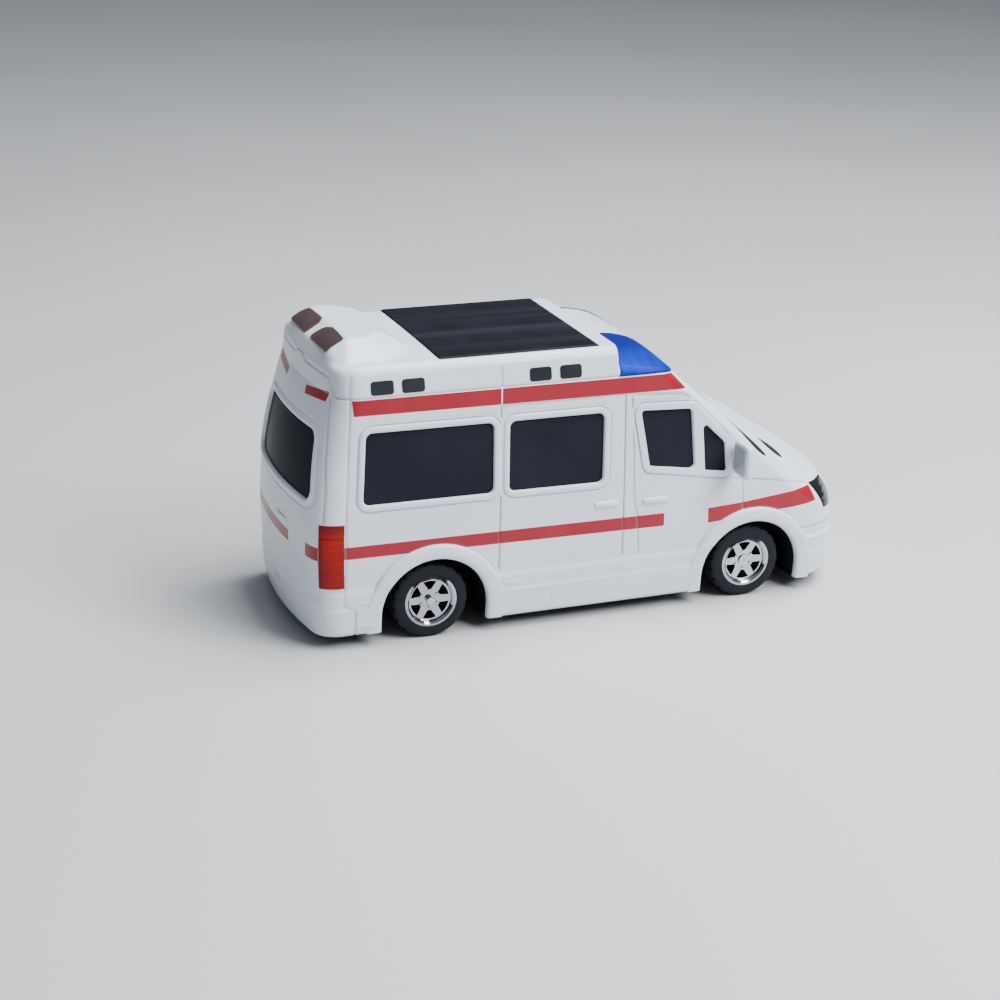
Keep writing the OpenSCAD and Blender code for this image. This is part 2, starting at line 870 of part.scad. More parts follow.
// Mirror housing on a short arm at the foot of the front pillar
mirror_x = cab(66);
mirror_z = 66;
mirror_w = 16;
mirror_h = 18;
mirror_d = 6;
module mirror_space(side, inset, depth) {
    translate([rear_axle_x + mirror_x, side * (half_at(mirror_z) + 1.6), mirror_z])
        rotate([90, 0, 90])
            linear_extrude(depth)
                mirror([side > 0 ? 0 : 1, 0, 0])
                    offset(r = 2 - inset * 0.5, $fn = 32)
                        polygon([[2 + inset, -mirror_h / 2 + 2 + inset], [mirror_w - 2 - inset, -mirror_h / 2 + 4.5 + inset],
                            [mirror_w - 2 - inset, mirror_h / 2 + 1 - inset], [2 + inset, mirror_h / 2 - 2 - inset]]);
}

module mirror_housing(side) {
    color(white)
        difference() {
            union() {
                hull() {
                    mirror_space(side, 0, 2);
                    translate([mirror_d - 1, 0, 0])
                        mirror_space(side, 2, 1);
                }
                translate([rear_axle_x + mirror_x + 1, side > 0 ? half_at(mirror_z - 4) + 0.02 : -half_at(mirror_z - 4) - 4,
                        mirror_z - 4])
                    cube([3.4, 3.98, 5]);
            }
            translate([-1, 0, 0])
                mirror_space(side, 1, 2);
        }
}

module mirror_glass(side) {
    color(chrome)
        translate([0.4, 0, 0])
            mirror_space(side, 1.15, 0.6);
}

// Chassis
well_r = arch_r + 1;
well_t = 1.2;
well_y = [kingpin_half - 1, half_width - 3.5];
battery_w = cell_count * (cell_d + 0.4) + 1;
battery_l = cell_length + 7;
battery_top = floor_top + cell_d + 1.2;
box_t = 1.4;
rear_bearing_y = 19;
servo_x = [wheelbase - 41, wheelbase - 19];
servo_half = 12.5;
bracket_z = 20.4;
bracket_t = 2;
post_y = 12;
door_lap = 2.5;
door_t = 1;
switch_x = wheelbase - 36;
switch_y = half_width - 20;
knob_l = 4;
knob_w = 3;

module well_liner(axle_x, side, closed) {
    translate([axle_x + arch_shift, 0, arch_z])
        rotate([-90 * side, 0, 0])
            translate([0, 0, well_y[0]])
                difference() {
                    cylinder(r = well_r + well_t, h = well_y[1] - well_y[0], $fn = 96);
                    translate([0, 0, closed ? well_t : -1])
                        cylinder(r = well_r, h = 60, $fn = 96);
                    rotate([90 * side, 0, 0])
                        translate([-50, -50, -outside - arch_z + floor_top - 0.5])
                            cube([100, 200, outside]);
                    translate([-arch_shift, side * (arch_z - axle_z), -1])
                        cylinder(r = axle_r + 1.5, h = 10);
                }
}

// Floor outline: open under the wheels, with a round tab under each kingpin
front_well_y = kingpin_half + 1.8;
kingpin_tab_r = 4;
module chassis_plan() {
    difference() {
        polygon(body_outline(cavity_levels[0], -wall - free_gap));
        for (side = [-1, 1]) {
            translate([rear_axle_x + arch_shift - well_r, side > 0 ? well_y[0] : -well_y[0] - outside])
                square([2 * well_r, outside]);
            translate([front_axle_x + arch_shift - well_r, side > 0 ? front_well_y : -front_well_y - outside])
                square([2 * well_r, outside]);
        }
    }
    for (side = [-1, 1])
        translate([front_axle_x, side * kingpin_half])
            circle(r = kingpin_tab_r);
}

module battery_plan(grow = 0) {
    translate([rear_axle_x + battery_x - grow, -battery_w / 2 - grow])
        square([battery_l + 2 * grow, battery_w + 2 * grow]);
}

module chassis() {
    color(black)
        difference() {
            union() {
                translate([0, 0, floor_z])
                    linear_extrude(floor_t)
                        chassis_plan();
                for (side = [-1, 1]) {
                    well_liner(rear_axle_x, side, true);
                    well_liner(front_axle_x, side, false);
                    translate([front_axle_x, side * kingpin_half, floor_top - 0.1])
                        cylinder(r = 3.2, h = 3.6);
                    translate([front_axle_x, side * post_y, floor_top - 0.1])
                        cylinder(r = 3, h = bracket_z - floor_top + 0.1);
                }
                translate([0, 0, floor_z])
                    linear_extrude(battery_top + box_t - floor_z)
                        battery_plan(box_t);
                translate([rear_axle_x - 4, rear_bearing_y, floor_top - 0.1])
                    cube([8, 2, axle_z + 4 - floor_top]);
                for (x = [4, battery_l - 4], side = [-1, 1])
                    translate([rear_axle_x + battery_x + x, side * 15, battery_top + box_t - 0.1])
                        cylinder(r = 2, h = 3.1);
            }
            translate([0, 0, floor_z - 1])
                linear_extrude(battery_top - floor_z + 1)
                    battery_plan();
            translate([0, 0, floor_z - 1])
                linear_extrude(door_t + free_gap + 1)
                    battery_plan(door_lap + free_gap);
            for (side = [-1, 1])
                translate([front_axle_x, side * kingpin_half, floor_top])
                    cylinder(r = axle_r + run_gap, h = 10);
            translate([rear_axle_x, rear_bearing_y + 1, axle_z])
                rotate([90, 0, 0])
                    cylinder(r = axle_r + run_gap, h = 6, center = true);
            for (x = boss_xs, side = [-1, 1])
                translate([rear_axle_x + x, side * boss_y, floor_z - 1])
                    cylinder(r = screw_r + inset_gap, h = 10);
            translate([rear_axle_x + switch_x - knob_l / 2 - free_gap, switch_y - knob_w / 2 - free_gap, floor_z - 1])
                cube([knob_l + switch_travel + 2 * free_gap, knob_w + 2 * free_gap, 10]);
        }
}

door_screw_x = battery_l - 3.2;
door_screw_r = 1.2;
module battery_door() {
    color(black)
        difference() {
            union() {
                translate([0, 0, floor_z])
                    linear_extrude(door_t)
                        battery_plan(door_lap);
                // Rib that locates the door in the mouth of the battery box
                translate([0, 0, floor_z + door_t - 0.1])
                    linear_extrude(0.5)
                        difference() {
                            battery_plan(-free_gap);
                            battery_plan(-free_gap - 1.2);
                        }
            }
            for (i = [0 : 4])
                translate([rear_axle_x + battery_x + 6 + 2.4 * i, -8, floor_z - 0.6])
                    cube([1.2, 16, 1]);
            translate([rear_axle_x + battery_x + door_screw_x, 0, floor_z - 1])
                cylinder(r = door_screw_r, h = 10);
        }
}

module pan_screw(r, length, head_r, head_h) {
    difference() {
        union() {
            translate([0, 0, -head_h])
                cylinder(r = head_r, h = head_h);
            cylinder(r = r, h = length);
        }
        for (a = [0, 90])
            rotate(a)
                translate([-head_r * 0.6, -0.2, -head_h - 1])
                    cube([head_r * 1.2, 0.4, 1 + head_h * 0.6]);
    }
}

module battery_door_screw() {
    color(steel)
        translate([rear_axle_x + battery_x + door_screw_x, 0, floor_z])
            pan_screw(door_screw_r, 1.4, 2.2, 0.5);
}

// Cells lie along X on the door's rib
module battery_cells() {
    pitch = cell_d + 0.4;
    for (i = [0 : cell_count - 1])
        color(i % 2 == 0 ? "goldenrod" : "dimgray")
            translate([rear_axle_x + battery_x + 3.5, (i - (cell_count - 1) / 2) * pitch,
                    floor_z + door_t + 0.7 + cell_d / 2])
                rotate([0, 90, 0]) {
                    cylinder(r = cell_d / 2, h = cell_length - 1.2);
                    cylinder(r = 2.6, h = cell_length);
                }
}

module battery_contacts() {
    pitch = cell_d + 0.4;
    for (i = [0 : cell_count - 1], end = [0, 1])
        color(steel)
            translate([rear_axle_x + battery_x + (end == 0 ? 0 : battery_l - 0.5),
                    (i - (cell_count - 1) / 2) * pitch, floor_z + door_t + 1 + cell_d / 2]) {
                translate([0, -4.5, -4.5])
                    cube([0.5, 9, 9]);
                translate([end == 0 ? 0.5 : 0, 0, 0])
                    rotate([0, end == 0 ? 90 : -90, 0])
                        cylinder(r1 = 3.4, r2 = 2, h = 2.6);
            }
}

// Drive train: gear centres relative to the rear axle
idler_dist = gear_module * (axle_gear_teeth + idler_pinion_teeth) / 2;
motor_dist = gear_module * (idler_wheel_teeth + motor_pinion_teeth) / 2;
idler_dir = 62;
motor_dir = 0;
idler_at = idler_dist * [cos(idler_dir), sin(idler_dir)];
motor_at = idler_at + motor_dist * [cos(motor_dir), sin(motor_dir)];
gearbox_y = [-21, -7];
plate_t = 2;
slow_y = -18.4;
slow_w = 4;
fast_y = -13.6;
fast_w = 3.2;
idler_pin_r = 1;
motor_shaft_r = 1;
motor_boss_r = 3;
pressure = 24;

function involute(r, base) = let (t = acos(min(1, base / r))) tan(t) * 180 / PI - t;
// Tooth outline of an involute gear, a tooth centred on +X
function gear_points(teeth) =
    let (pitch_r = gear_module * teeth / 2,
        base = pitch_r * cos(pressure),
        tip = pitch_r + 0.88 * gear_module,
        root = pitch_r - 1.2 * gear_module,
        half = 90 / teeth - backlash / 2 / pitch_r * 180 / PI / 2 + involute(pitch_r, base),
        low = max(base, root),
        radii = [for (i = [0 : 3]) low + (tip - low) * i / 3])
    [for (k = [0 : teeth - 1]) let (mid = 360 * k / teeth)
        for (p = concat(
            [[root, mid - half - 0.5]],
            [for (r = radii) [r, mid - half + involute(r, base)]],
            [for (i = [3 : -1 : 0]) [radii[i], mid + half - involute(radii[i], base)]],
            [[root, mid + half + 0.5]]))
        p[0] * [cos(p[1]), sin(p[1])]];

// Gear about the Y axis in the XZ plane, turned so that a tooth points along the given direction
module gear(teeth, width, turn) {
    rotate([90, 0, 0])
        rotate(turn)
            translate([0, 0, -width])
                linear_extrude(width)
                    polygon(gear_points(teeth));
}

module at_gear(at, y) {
    translate([rear_axle_x + at[0], y, axle_z + at[1]])
        children();
}

module y_bar(r, length) {
    rotate([-90, 0, 0])
        cylinder(r = r, h = length);
}

module axle_gear() {
    color("ivory")
        at_gear([0, 0], slow_y)
            difference() {
                union() {
                    gear(axle_gear_teeth, slow_w, idler_dir);
                    y_bar(axle_r + 1.1, slow_w + 3);
                }
                translate([0, -1, 0])
                    y_bar(axle_r, 20);
            }
}

module idler_gear() {
    color("ivory")
        at_gear(idler_at, 0)
            difference() {
                union() {
                    translate([0, slow_y, 0])
                        gear(idler_pinion_teeth, slow_w, idler_dir + 180 + 180 / idler_pinion_teeth);
                    translate([0, fast_y, 0])
                        gear(idler_wheel_teeth, fast_w, motor_dir);
                    translate([0, slow_y + slow_w - 0.1, 0])
                        y_bar(2, fast_y - slow_y - slow_w + 0.2);
                }
                translate([0, gearbox_y[0], 0])
                    y_bar(idler_pin_r + run_gap, 20);
            }
}

module idler_pin() {
    color(steel)
        at_gear(idler_at, gearbox_y[0])
            y_bar(idler_pin_r, gearbox_y[1] - gearbox_y[0]);
}

module motor_pinion() {
    color("ivory")
        at_gear(motor_at, fast_y)
            difference() {
                gear(motor_pinion_teeth, fast_w, motor_dir + 180 + 180 / motor_pinion_teeth);
                translate([0, -1, 0])
                    y_bar(motor_shaft_r, 20);
            }
}

module motor_shaft() {
    color(steel)
        at_gear(motor_at, fast_y)
            y_bar(motor_shaft_r, gearbox_y[1] - fast_y + 10);
}

module drive_motor() {
    color(steel)
        at_gear(motor_at, gearbox_y[1])
            difference() {
                union() {
                    intersection() {
                        y_bar(motor_d / 2, motor_length);
                        translate([-motor_d, -1, -motor_d * 0.385])
                            cube([2 * motor_d, 2 * motor_length, motor_d * 0.77]);
                    }
                    translate([0, -plate_t + 0.2, 0])
                        y_bar(motor_boss_r, plate_t);
                    y_bar(3.2, motor_length + 2);
                }
                translate([0, -plate_t - 1, 0])
                    y_bar(motor_shaft_r + run_gap, 16);
            }
}

module plate_plan() {
    hull() {
        circle(r = 5);
        translate(idler_at)
            circle(r = 5);
        translate(motor_at)
            circle(r = 7);
        translate([-10, floor_top - axle_z])
            square([30, 3]);
    }
}

module gearbox_plate() {
    rotate([90, 0, 0])
        translate([0, 0, -plate_t])
            linear_extrude(plate_t)
                plate_plan();
}

module gearbox_case() {
    color("dimgray")
        difference() {
            union() {
                at_gear([0, 0], gearbox_y[0])
                    gearbox_plate();
                at_gear([0, 0], gearbox_y[1] - plate_t)
                    gearbox_plate();
                for (x = [-10, 17.5])
                    translate([rear_axle_x + x, gearbox_y[0] + 0.1, floor_top])
                        cube([2.4, gearbox_y[1] - gearbox_y[0] - 0.2, 3]);
            }
            at_gear([0, 0], gearbox_y[0] - 1)
                y_bar(axle_r + run_gap, 40);
            at_gear(idler_at, gearbox_y[0] - 1)
                y_bar(idler_pin_r, 40);
            at_gear(motor_at, gearbox_y[1] - plate_t - 1)
                y_bar(motor_boss_r, 40);
        }
}

axle_end = half_track + tyre_w / 2 - 0.2;
module rear_axle() {
    color(steel)
        translate([rear_axle_x, -axle_end, axle_z])
            y_bar(axle_r, 2 * axle_end);
}

// Spoked rim turned about Y, its face towards +Y from the middle of the tyre
hub_r = 3.6;
rim_face = tyre_w / 2 - 1.6;
module rim(bore) {
    half = tyre_w / 2;
    rotate([-90, 0, 0])
        difference() {
            union() {
                rotate_extrude()
                    polygon([[rim_r - 1.4, -half + 0.6], [rim_r + 0.5, -half + 0.2], [rim_r + 0.5, -half + 0.8],
                        [rim_r, -half + 1.2], [rim_r, half - 1.2], [rim_r + 0.5, half - 0.8],
                        [rim_r + 0.4, half - 0.1], [rim_r - 0.6, half + 0.2], [rim_r - 1.4, half - 0.6],
                        [rim_r - 1.7, rim_face - 0.2], [rim_r - 1.7, rim_face - 2]]);
                intersection() {
                    rotate_extrude()
                        polygon([[0, rim_face - 2.2], [rim_r - 1, rim_face - 1.4], [rim_r - 1, rim_face],
                            [hub_r + 0.4, rim_face - 0.5], [0, rim_face - 0.5]]);
                    translate([0, 0, -10])
                        linear_extrude(30)
                            union() {
                                circle(r = hub_r + 0.6);
                                for (i = [0 : spoke_count - 1])
                                    rotate(360 * i / spoke_count)
                                        polygon([[0, -1.9], [rim_r - 0.9, -1.3], [rim_r - 0.9, 1.3], [0, 1.9]]);
                                difference() {
                                    circle(r = rim_r - 1.1);
                                    circle(r = rim_r - 2.3);
                                }
                            }
                }
                translate([0, 0, -half + 0.9])
                    cylinder(r = hub_r - 0.6, h = half - 0.9 + rim_face - 0.6);
                for (i = [0 : spoke_count - 1])
                    rotate(360 * (i + 0.5) / spoke_count)
                        translate([hub_r + 0.2, 0, rim_face - 1.6])
                            cylinder(r = 0.8, h = 1.5, $fn = 6);
            }
            translate([0, 0, -20])
                cylinder(r = bore, h = 60);
            translate([0, 0, rim_face - 0.9])
                cylinder(r = 2.3, h = 10);
        }
}

// Tyre with rounded shoulders, a bulged wall, tread grooves and cross cuts
tread_cuts = 20;
module tyre() {
    half = tyre_w / 2;
    rotate([-90, 0, 0])
        difference() {
            rotate_extrude($fn = 96)
                polygon([[rim_r, -half + 1.2], [rim_r + 0.5, -half + 0.8], [rim_r + 0.5, -half + 0.2],
                    [rim_r + 1.8, -half], [tyre_r - 1.6, -half + 0.2], [tyre_r - 0.5, -half + 0.8],
                    [tyre_r, -half + 1.9], [tyre_r, -1.9], [tyre_r - 0.7, -1.7], [tyre_r - 0.7, -0.9],
                    [tyre_r, -0.7], [tyre_r, 0.7], [tyre_r - 0.7, 0.9], [tyre_r - 0.7, 1.7], [tyre_r, 1.9],
                    [tyre_r, half - 1.9], [tyre_r - 0.5, half - 0.8], [tyre_r - 1.6, half - 0.2],
                    [rim_r + 1.8, half], [rim_r + 0.5, half - 0.1], [rim_r + 0.5, half - 0.8], [rim_r, half - 1.2]]);
            for (i = [0 : tread_cuts - 1], end = [-1, 1])
                rotate(360 * (i + (end > 0 ? 0.5 : 0)) / tread_cuts)
                    translate([tyre_r - 0.7, -0.5, end > 0 ? 2.6 : -2.6 - 6])
                        cube([4, 1, 6]);
        }
}

module on_wheel(axle_x, side) {
    translate([axle_x, side * half_track, axle_z])
        rotate(side > 0 ? 0 : 180)
            children();
}

module rear_rim(side) {
    color(chrome)
        on_wheel(rear_axle_x, side)
            rim(axle_r);
}

module rear_tyre(side) {
    color(black)
        on_wheel(rear_axle_x, side)
            tyre();
}

module front_rim(side) {
    color(chrome)
        on_wheel(front_axle_x, side)
            rim(axle_r + run_gap);
}

module front_tyre(side) {
    color(black)
        on_wheel(front_axle_x, side)
            tyre();
}

// Front axle
stub_end = half_track + rim_face - 0.9 + free_gap;
module steering_knuckle(side) {
    color("dimgray")
        translate([front_axle_x, side * kingpin_half, 0]) {
            translate([0, 0, floor_top + free_gap])
                cylinder(r = axle_r, h = bracket_z + bracket_t - floor_top - free_gap);
            translate([0, 0, floor_top + 3.5 + free_gap])
                cylinder(r = 3.2, h = bracket_z - floor_top - 3.5 - 2 * free_gap);
            translate([0, 0, axle_z])
                rotate([-90 * side, 0, 0]) {
                    cylinder(r = axle_r, h = stub_end - kingpin_half);
                    cylinder(r = 2.6, h = half_track - tyre_w / 2 + 0.9 - free_gap - kingpin_half);
                }
            translate([-steer_arm, 0, bracket_z - free_gap - 2.2])
                linear_extrude(2.2)
                    hull() {
                        circle(r = 2.4);
                        translate([steer_arm, 0])
                            circle(r = 2.8);
                    }
            translate([-steer_arm, 0, bracket_z - free_gap - 0.1])
                cylinder(r = 1.25, h = 3);
        }
}

module hub_screw(side) {
    color(steel)
        translate([front_axle_x, side * stub_end, axle_z])
            rotate([90 * side, 0, 0])
                translate([0, 0, -0.01])
                    difference() {
                        translate([0, 0, -0.8])
                            cylinder(r = 2.1, h = 0.8);
                        for (a = [0, 90])
                            rotate(a)
                                translate([-1.3, -0.2, -1])
                                    cube([2.6, 0.4, 0.6]);
                    }
}

module front_bracket() {
    color("dimgray")
        translate([front_axle_x, 0, bracket_z])
            difference() {
                linear_extrude(bracket_t)
                    hull()
                        for (side = [-1, 1])
                            translate([0, side * kingpin_half])
                                circle(r = 4);
                for (side = [-1, 1])
                    translate([0, side * kingpin_half, -1])
                        cylinder(r = axle_r + run_gap, h = 10);
            }
}

link_t = 2.2;
link_x = -steer_arm;
link_slot = 1.25 + free_gap;
module slot(length) {
    hull()
        for (end = [-1, 1])
            translate([end * (length / 2 - link_slot), 0])
                circle(r = link_slot);
}

module steering_link() {
    color("dimgray")
        translate([front_axle_x + link_x, 0, bracket_z])
            linear_extrude(link_t)
                difference() {
                    union() {
                        square([4, 2 * kingpin_half], center = true);
                        for (y = [-kingpin_half, 0, kingpin_half])
                            translate([0, y])
                                square([7.4, 6], center = true);
                    }
                    for (y = [-kingpin_half, 0, kingpin_half])
                        translate([0, y])
                            slot(5);
                }
}

lever_x = link_x - lever_arm;
lever_z = bracket_z + link_t + free_gap;
module steering_lever() {
    color("ivory")
        translate([front_axle_x + lever_x, 0, lever_z])
            difference() {
                union() {
                    linear_extrude(2)
                        hull() {
                            circle(r = 4);
                            translate([lever_arm, 0])
                                circle(r = 2.4);
                        }
                    translate([lever_arm, 0, -link_t + 0.1])
                        cylinder(r = 1.25, h = link_t);
                }
                translate([0, 0, -1])
                    cylinder(r = axle_r + run_gap, h = 10);
            }
}

module steering_servo() {
    color(black)
        difference() {
            union() {
                translate([rear_axle_x + servo_x[0], -servo_half, floor_top])
                    linear_extrude(lever_z - free_gap - floor_top)
                        round_corners(1.5)
                            square([servo_x[1] - servo_x[0], 2 * servo_half]);
                translate([front_axle_x + lever_x, 0, lever_z - free_gap - 0.1])
                    cylinder(r = axle_r, h = 3.4);
            }
            for (i = [0 : 3])
                translate([rear_axle_x + servo_x[0] + 4 + 4.4 * i, -servo_half - 1, floor_top + 4])
                    cube([1.6, 1.6, 8]);
        }
}

// Power switch: slider under a small cover, its knob through the floor
slider_l = 11;
slider_w = 6;
switch_wall = 1.2;
module switch_slider() {
    color("darkred")
        translate([rear_axle_x + switch_x, switch_y, 0]) {
            translate([-knob_l / 2, -knob_w / 2, floor_z - 0.8])
                cube([knob_l, knob_w, floor_t + 1.4]);
            translate([-slider_l / 2, -slider_w / 2, floor_top + free_gap])
                cube([slider_l, slider_w, 1.6]);
        }
}

module switch_body() {
    color(steel)
        translate([rear_axle_x + switch_x - slider_l / 2 - free_gap - switch_wall, switch_y, floor_top])
            difference() {
                translate([0, -slider_w / 2 - free_gap - switch_wall, 0])
                    cube([slider_l + switch_travel + 2 * free_gap + 2 * switch_wall,
                        slider_w + 2 * free_gap + 2 * switch_wall, 5]);
                translate([switch_wall, -slider_w / 2 - free_gap, -1])
                    cube([slider_l + switch_travel + 2 * free_gap, slider_w + 2 * free_gap, 1.6 + 2 * free_gap + 1]);
            }
}

// Receiver board on the battery box with its main parts
board_z = battery_top + box_t + 3;
module circuit_board() {
    color("darkgreen")
        translate([rear_axle_x + battery_x, -18, board_z]) {
            cube([battery_l, 36, 1.6]);
            translate([20, 12, 1.5])
                cube([12, 9, 2.1]);
            for (y = [5, 27])
                translate([10, y, 1.5])
                    cylinder(r = 3.2, h = 8);
            translate([40, 8, 1.5])
                cube([9, 18, 4]);
        }
}

module beacon_leds() {
    for (side = [-1, 1])
        color("lightblue")
            translate([rear_axle_x + led_x, side * (led_ledge_y - 2), led_z])
                rotate([-90 * side, 0, 0]) {
                    cylinder(r = led_r, h = 7.6);
                    translate([0, 0, 7.6])
                        sphere(r = led_r);
                }
}

module body_screws() {
    for (x = boss_xs, side = [-1, 1])
        color(steel)
            translate([rear_axle_x + x, side * boss_y, floor_z])
                pan_screw(screw_r, 12, 2.4, 0.5);
}

body_shell();
roof_cap();
roof_panel();
front_beacon_lens(-1);  // front_beacon_lens_right
front_beacon_lens(1);  // front_beacon_lens_left
rear_beacon_lens(-1);  // rear_beacon_lens_right
rear_beacon_lens(1);  // rear_beacon_lens_left
roof_vents(-1);  // roof_vents_right
roof_vents(1);  // roof_vents_left
side_glazing(-1);  // side_glazing_right
side_glazing(1);  // side_glazing_left
windscreen();
rear_window();
tail_lamp(-1);  // tail_lamp_right
tail_lamp(1);  // tail_lamp_left
headlamp(-1);  // headlamp_right
headlamp(1);  // headlamp_left
mirror_housing(-1);  // mirror_right
mirror_housing(1);  // mirror_left
mirror_glass(-1);  // mirror_glass_right
mirror_glass(1);  // mirror_glass_left
grille();
chassis();
battery_door();
battery_door_screw();
battery_cells();
battery_contacts();
gearbox_case();
drive_motor();
motor_shaft();
motor_pinion();
idler_pin();
idler_gear();
axle_gear();
rear_axle();
rear_rim(-1);  // rear_rim_right
rear_rim(1);  // rear_rim_left
rear_tyre(-1);  // rear_tyre_right
rear_tyre(1);  // rear_tyre_left
front_bracket();
steering_knuckle(-1);  // steering_knuckle_right
steering_knuckle(1);  // steering_knuckle_left
hub_screw(-1);  // hub_screw_right
hub_screw(1);  // hub_screw_left
front_rim(-1);  // front_rim_right
front_rim(1);  // front_rim_left
front_tyre(-1);  // front_tyre_right
front_tyre(1);  // front_tyre_left
steering_link();
steering_lever();
steering_servo();
switch_body();
switch_slider();
circuit_board();
beacon_leds();
body_screws();
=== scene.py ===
import bpy
import numpy as np
from mathutils import Matrix


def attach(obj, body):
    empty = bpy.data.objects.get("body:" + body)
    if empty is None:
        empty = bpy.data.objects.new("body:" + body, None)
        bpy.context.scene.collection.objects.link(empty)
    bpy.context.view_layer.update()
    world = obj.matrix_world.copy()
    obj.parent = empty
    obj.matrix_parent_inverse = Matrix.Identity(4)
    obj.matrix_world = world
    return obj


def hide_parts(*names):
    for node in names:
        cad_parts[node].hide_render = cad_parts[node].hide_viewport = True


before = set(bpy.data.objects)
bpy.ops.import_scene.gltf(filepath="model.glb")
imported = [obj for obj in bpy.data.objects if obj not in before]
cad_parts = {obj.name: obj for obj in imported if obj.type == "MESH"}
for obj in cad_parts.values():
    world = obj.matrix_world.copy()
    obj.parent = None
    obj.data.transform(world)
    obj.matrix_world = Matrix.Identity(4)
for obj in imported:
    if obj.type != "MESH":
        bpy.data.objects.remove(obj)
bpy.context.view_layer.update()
print("frame loaded,", len(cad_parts), "nodes")

# millimetres, x counted forward from the rear axle, y to the left, z up
van = {
    "rearAxle": -71.0, "middle": (60.0, 0.0, 50.0), "sill": 5.5, "waist": 40.0, "seam": 102.0, "corner": 9.0,
    "halfWidth": 44.0, "sideTuck": 1.4, "sideLean": 2.4, "sidePower": 1.6,
    "rearEnd": -51.9, "rearTuck": 3.0, "rearLean": 10.0, "rearPower": 2, "rearBow": 190.0,
    "noseEnd": 193.9, "noseZ": 28.0, "noseTuck": 3.0, "noseRake": 60.0, "nosePower": 1.6, "noseBow": 62.0,
    "cowlX": 136.0, "cowlZ": 78.0, "cowlEdge": 1.5, "slopeEdge": 5.0,
    "bonnetSlope": np.radians(32.0), "bonnetCrown": 90.0,
    "screenSlope": np.radians(41.0), "screenCrown": 600.0, "screenSink": 2.9,
}
skirt = {
    "out": 1.1, "ledge": 0.4, "ledgeZ": (16.9, 17.6), "lowZ": (5.0, 6.8), "topZ": (22.9, 25.4),
    "rearShare": 0.9, "rearDrop": 3.6,
}


def ease(v, low, high):  # smooth step from 0 at low to 1 at high
    t = np.clip((v - low) / (high - low), 0, 1)
    return t * t * (3 - 2 * t)


def bell(v, width):  # 1 at zero, falling away on both sides
    return np.exp(-(v / width) ** 2)


def unit(v):
    return v / np.linalg.norm(v, axis=-1, keepdims=True)


def softMax(a, b, size):  # the larger of two fields, the join rounded over size
    h = np.clip(1 - np.abs(a - b) / size, 0, 1)
    return np.maximum(a, b) + h * h * size / 4


def softMin(a, b, size):
    return -softMax(-a, -b, size)


# how far a wall leans in: a squared tuck below its level, a power curve above it
def wallLean(z, level, tuck, lean, power):
    low = tuck * ((level - z) / (level - van["sill"])) ** 2
    up = lean * (np.maximum(z - level, 0) / (van["seam"] - level)) ** power
    return np.where(z < level, low, up)


def sideHalf(z):
    return van["halfWidth"] - wallLean(z, van["waist"], van["sideTuck"], van["sideLean"], van["sidePower"])


def rearEnd(z):
    return van["rearEnd"] + wallLean(z, van["waist"], van["rearTuck"], van["rearLean"], van["rearPower"])


def noseEnd(z):
    return van["noseEnd"] - wallLean(z, van["noseZ"], van["noseTuck"], van["noseRake"], van["nosePower"])


def skirtReach(z):  # proud from the sill to its top, with a ledge part way up
    proud = skirt["out"] - skirt["ledge"] * ease(z, *skirt["ledgeZ"])
    return proud * ease(z, *skirt["lowZ"]) * (1 - ease(z, *skirt["topZ"]))


# distance to a big cylinder laid along a slope through the foot of the windscreen
def slopeField(x, y, z, slope, crown):
    up = (x - van["cowlX"]) * np.sin(slope) + (z - van["cowlZ"]) * np.cos(slope)
    return np.hypot(y, up + crown) - crown


def screenField(x, y, z):
    sunk = z + van["screenSink"] / np.cos(van["screenSlope"])
    return slopeField(x, y, sunk, van["screenSlope"], van["screenCrown"])


# body below the seam: leaning sides, bowed rear and nose, bonnet and windscreen slopes, joins rounded
def bodyField(x, y, z):
    proud = skirtReach(z)
    bumper = skirt["rearShare"] * skirtReach(z + skirt["rearDrop"])
    side = np.abs(y) - sideHalf(z) - proud
    rear = np.hypot(np.minimum(x - rearEnd(z) - van["rearBow"], 0), y) - van["rearBow"] - bumper
    nose = np.hypot(np.maximum(x - noseEnd(z) + van["noseBow"], 0), y) - van["noseBow"] - proud
    bonnet = slopeField(x, y, z, van["bonnetSlope"], van["bonnetCrown"])
    slopes = softMin(screenField(x, y, z), bonnet, van["cowlEdge"])
    walls = softMax(softMax(side, rear, van["corner"]), nose, van["corner"])
    return softMax(walls, slopes, van["slopeEdge"])


roof = {
    "top": 114.0, "crown": 0.25, "crownHalf": 40.0, "half": 39.6, "leanTop": 111.0, "leanMost": 1.2,
    "rearLean": 1.0, "edge": 4.0, "screenEdge": 9.0, "middle": (30.0, 0.0, 95.0),
    "humpTop": 121.45, "humpEdge": 0.6, "humpInset": 0.8, "humpSide": 3.0, "humpFoot": 0.8,
    "humpPlanes": [  # x, |y|, z of a point on each face, then its outward direction
        ((-29.5, 0, 121.4), (-0.474, 0, 0.88)), ((-38.9, 0, 116.4), (-0.72, 0, 0.69)),
        ((-22, 24.3, 121.4), (0, 0.60, 0.80)), ((-14, 0, 121.4), (0.515, 0, 0.857)),
        ((-14, 17, 121.4), (0.40, 0.42, 0.82)), ((-31, 24, 121.0), (-0.42, 0.46, 0.78)),
    ],
    "beaconX": 77.81, "beaconEdge": 2.0, "beaconPlane": ((77.8, 20.5, 114.3), (0.12, 0.40, 0.91)),
}


def facetField(x, y, z, point, out):  # distance outside a flat facet, the same on both sides
    return (x - point[0]) * out[0] + (np.abs(y) - point[1]) * out[1] + (z - point[2]) * out[2]


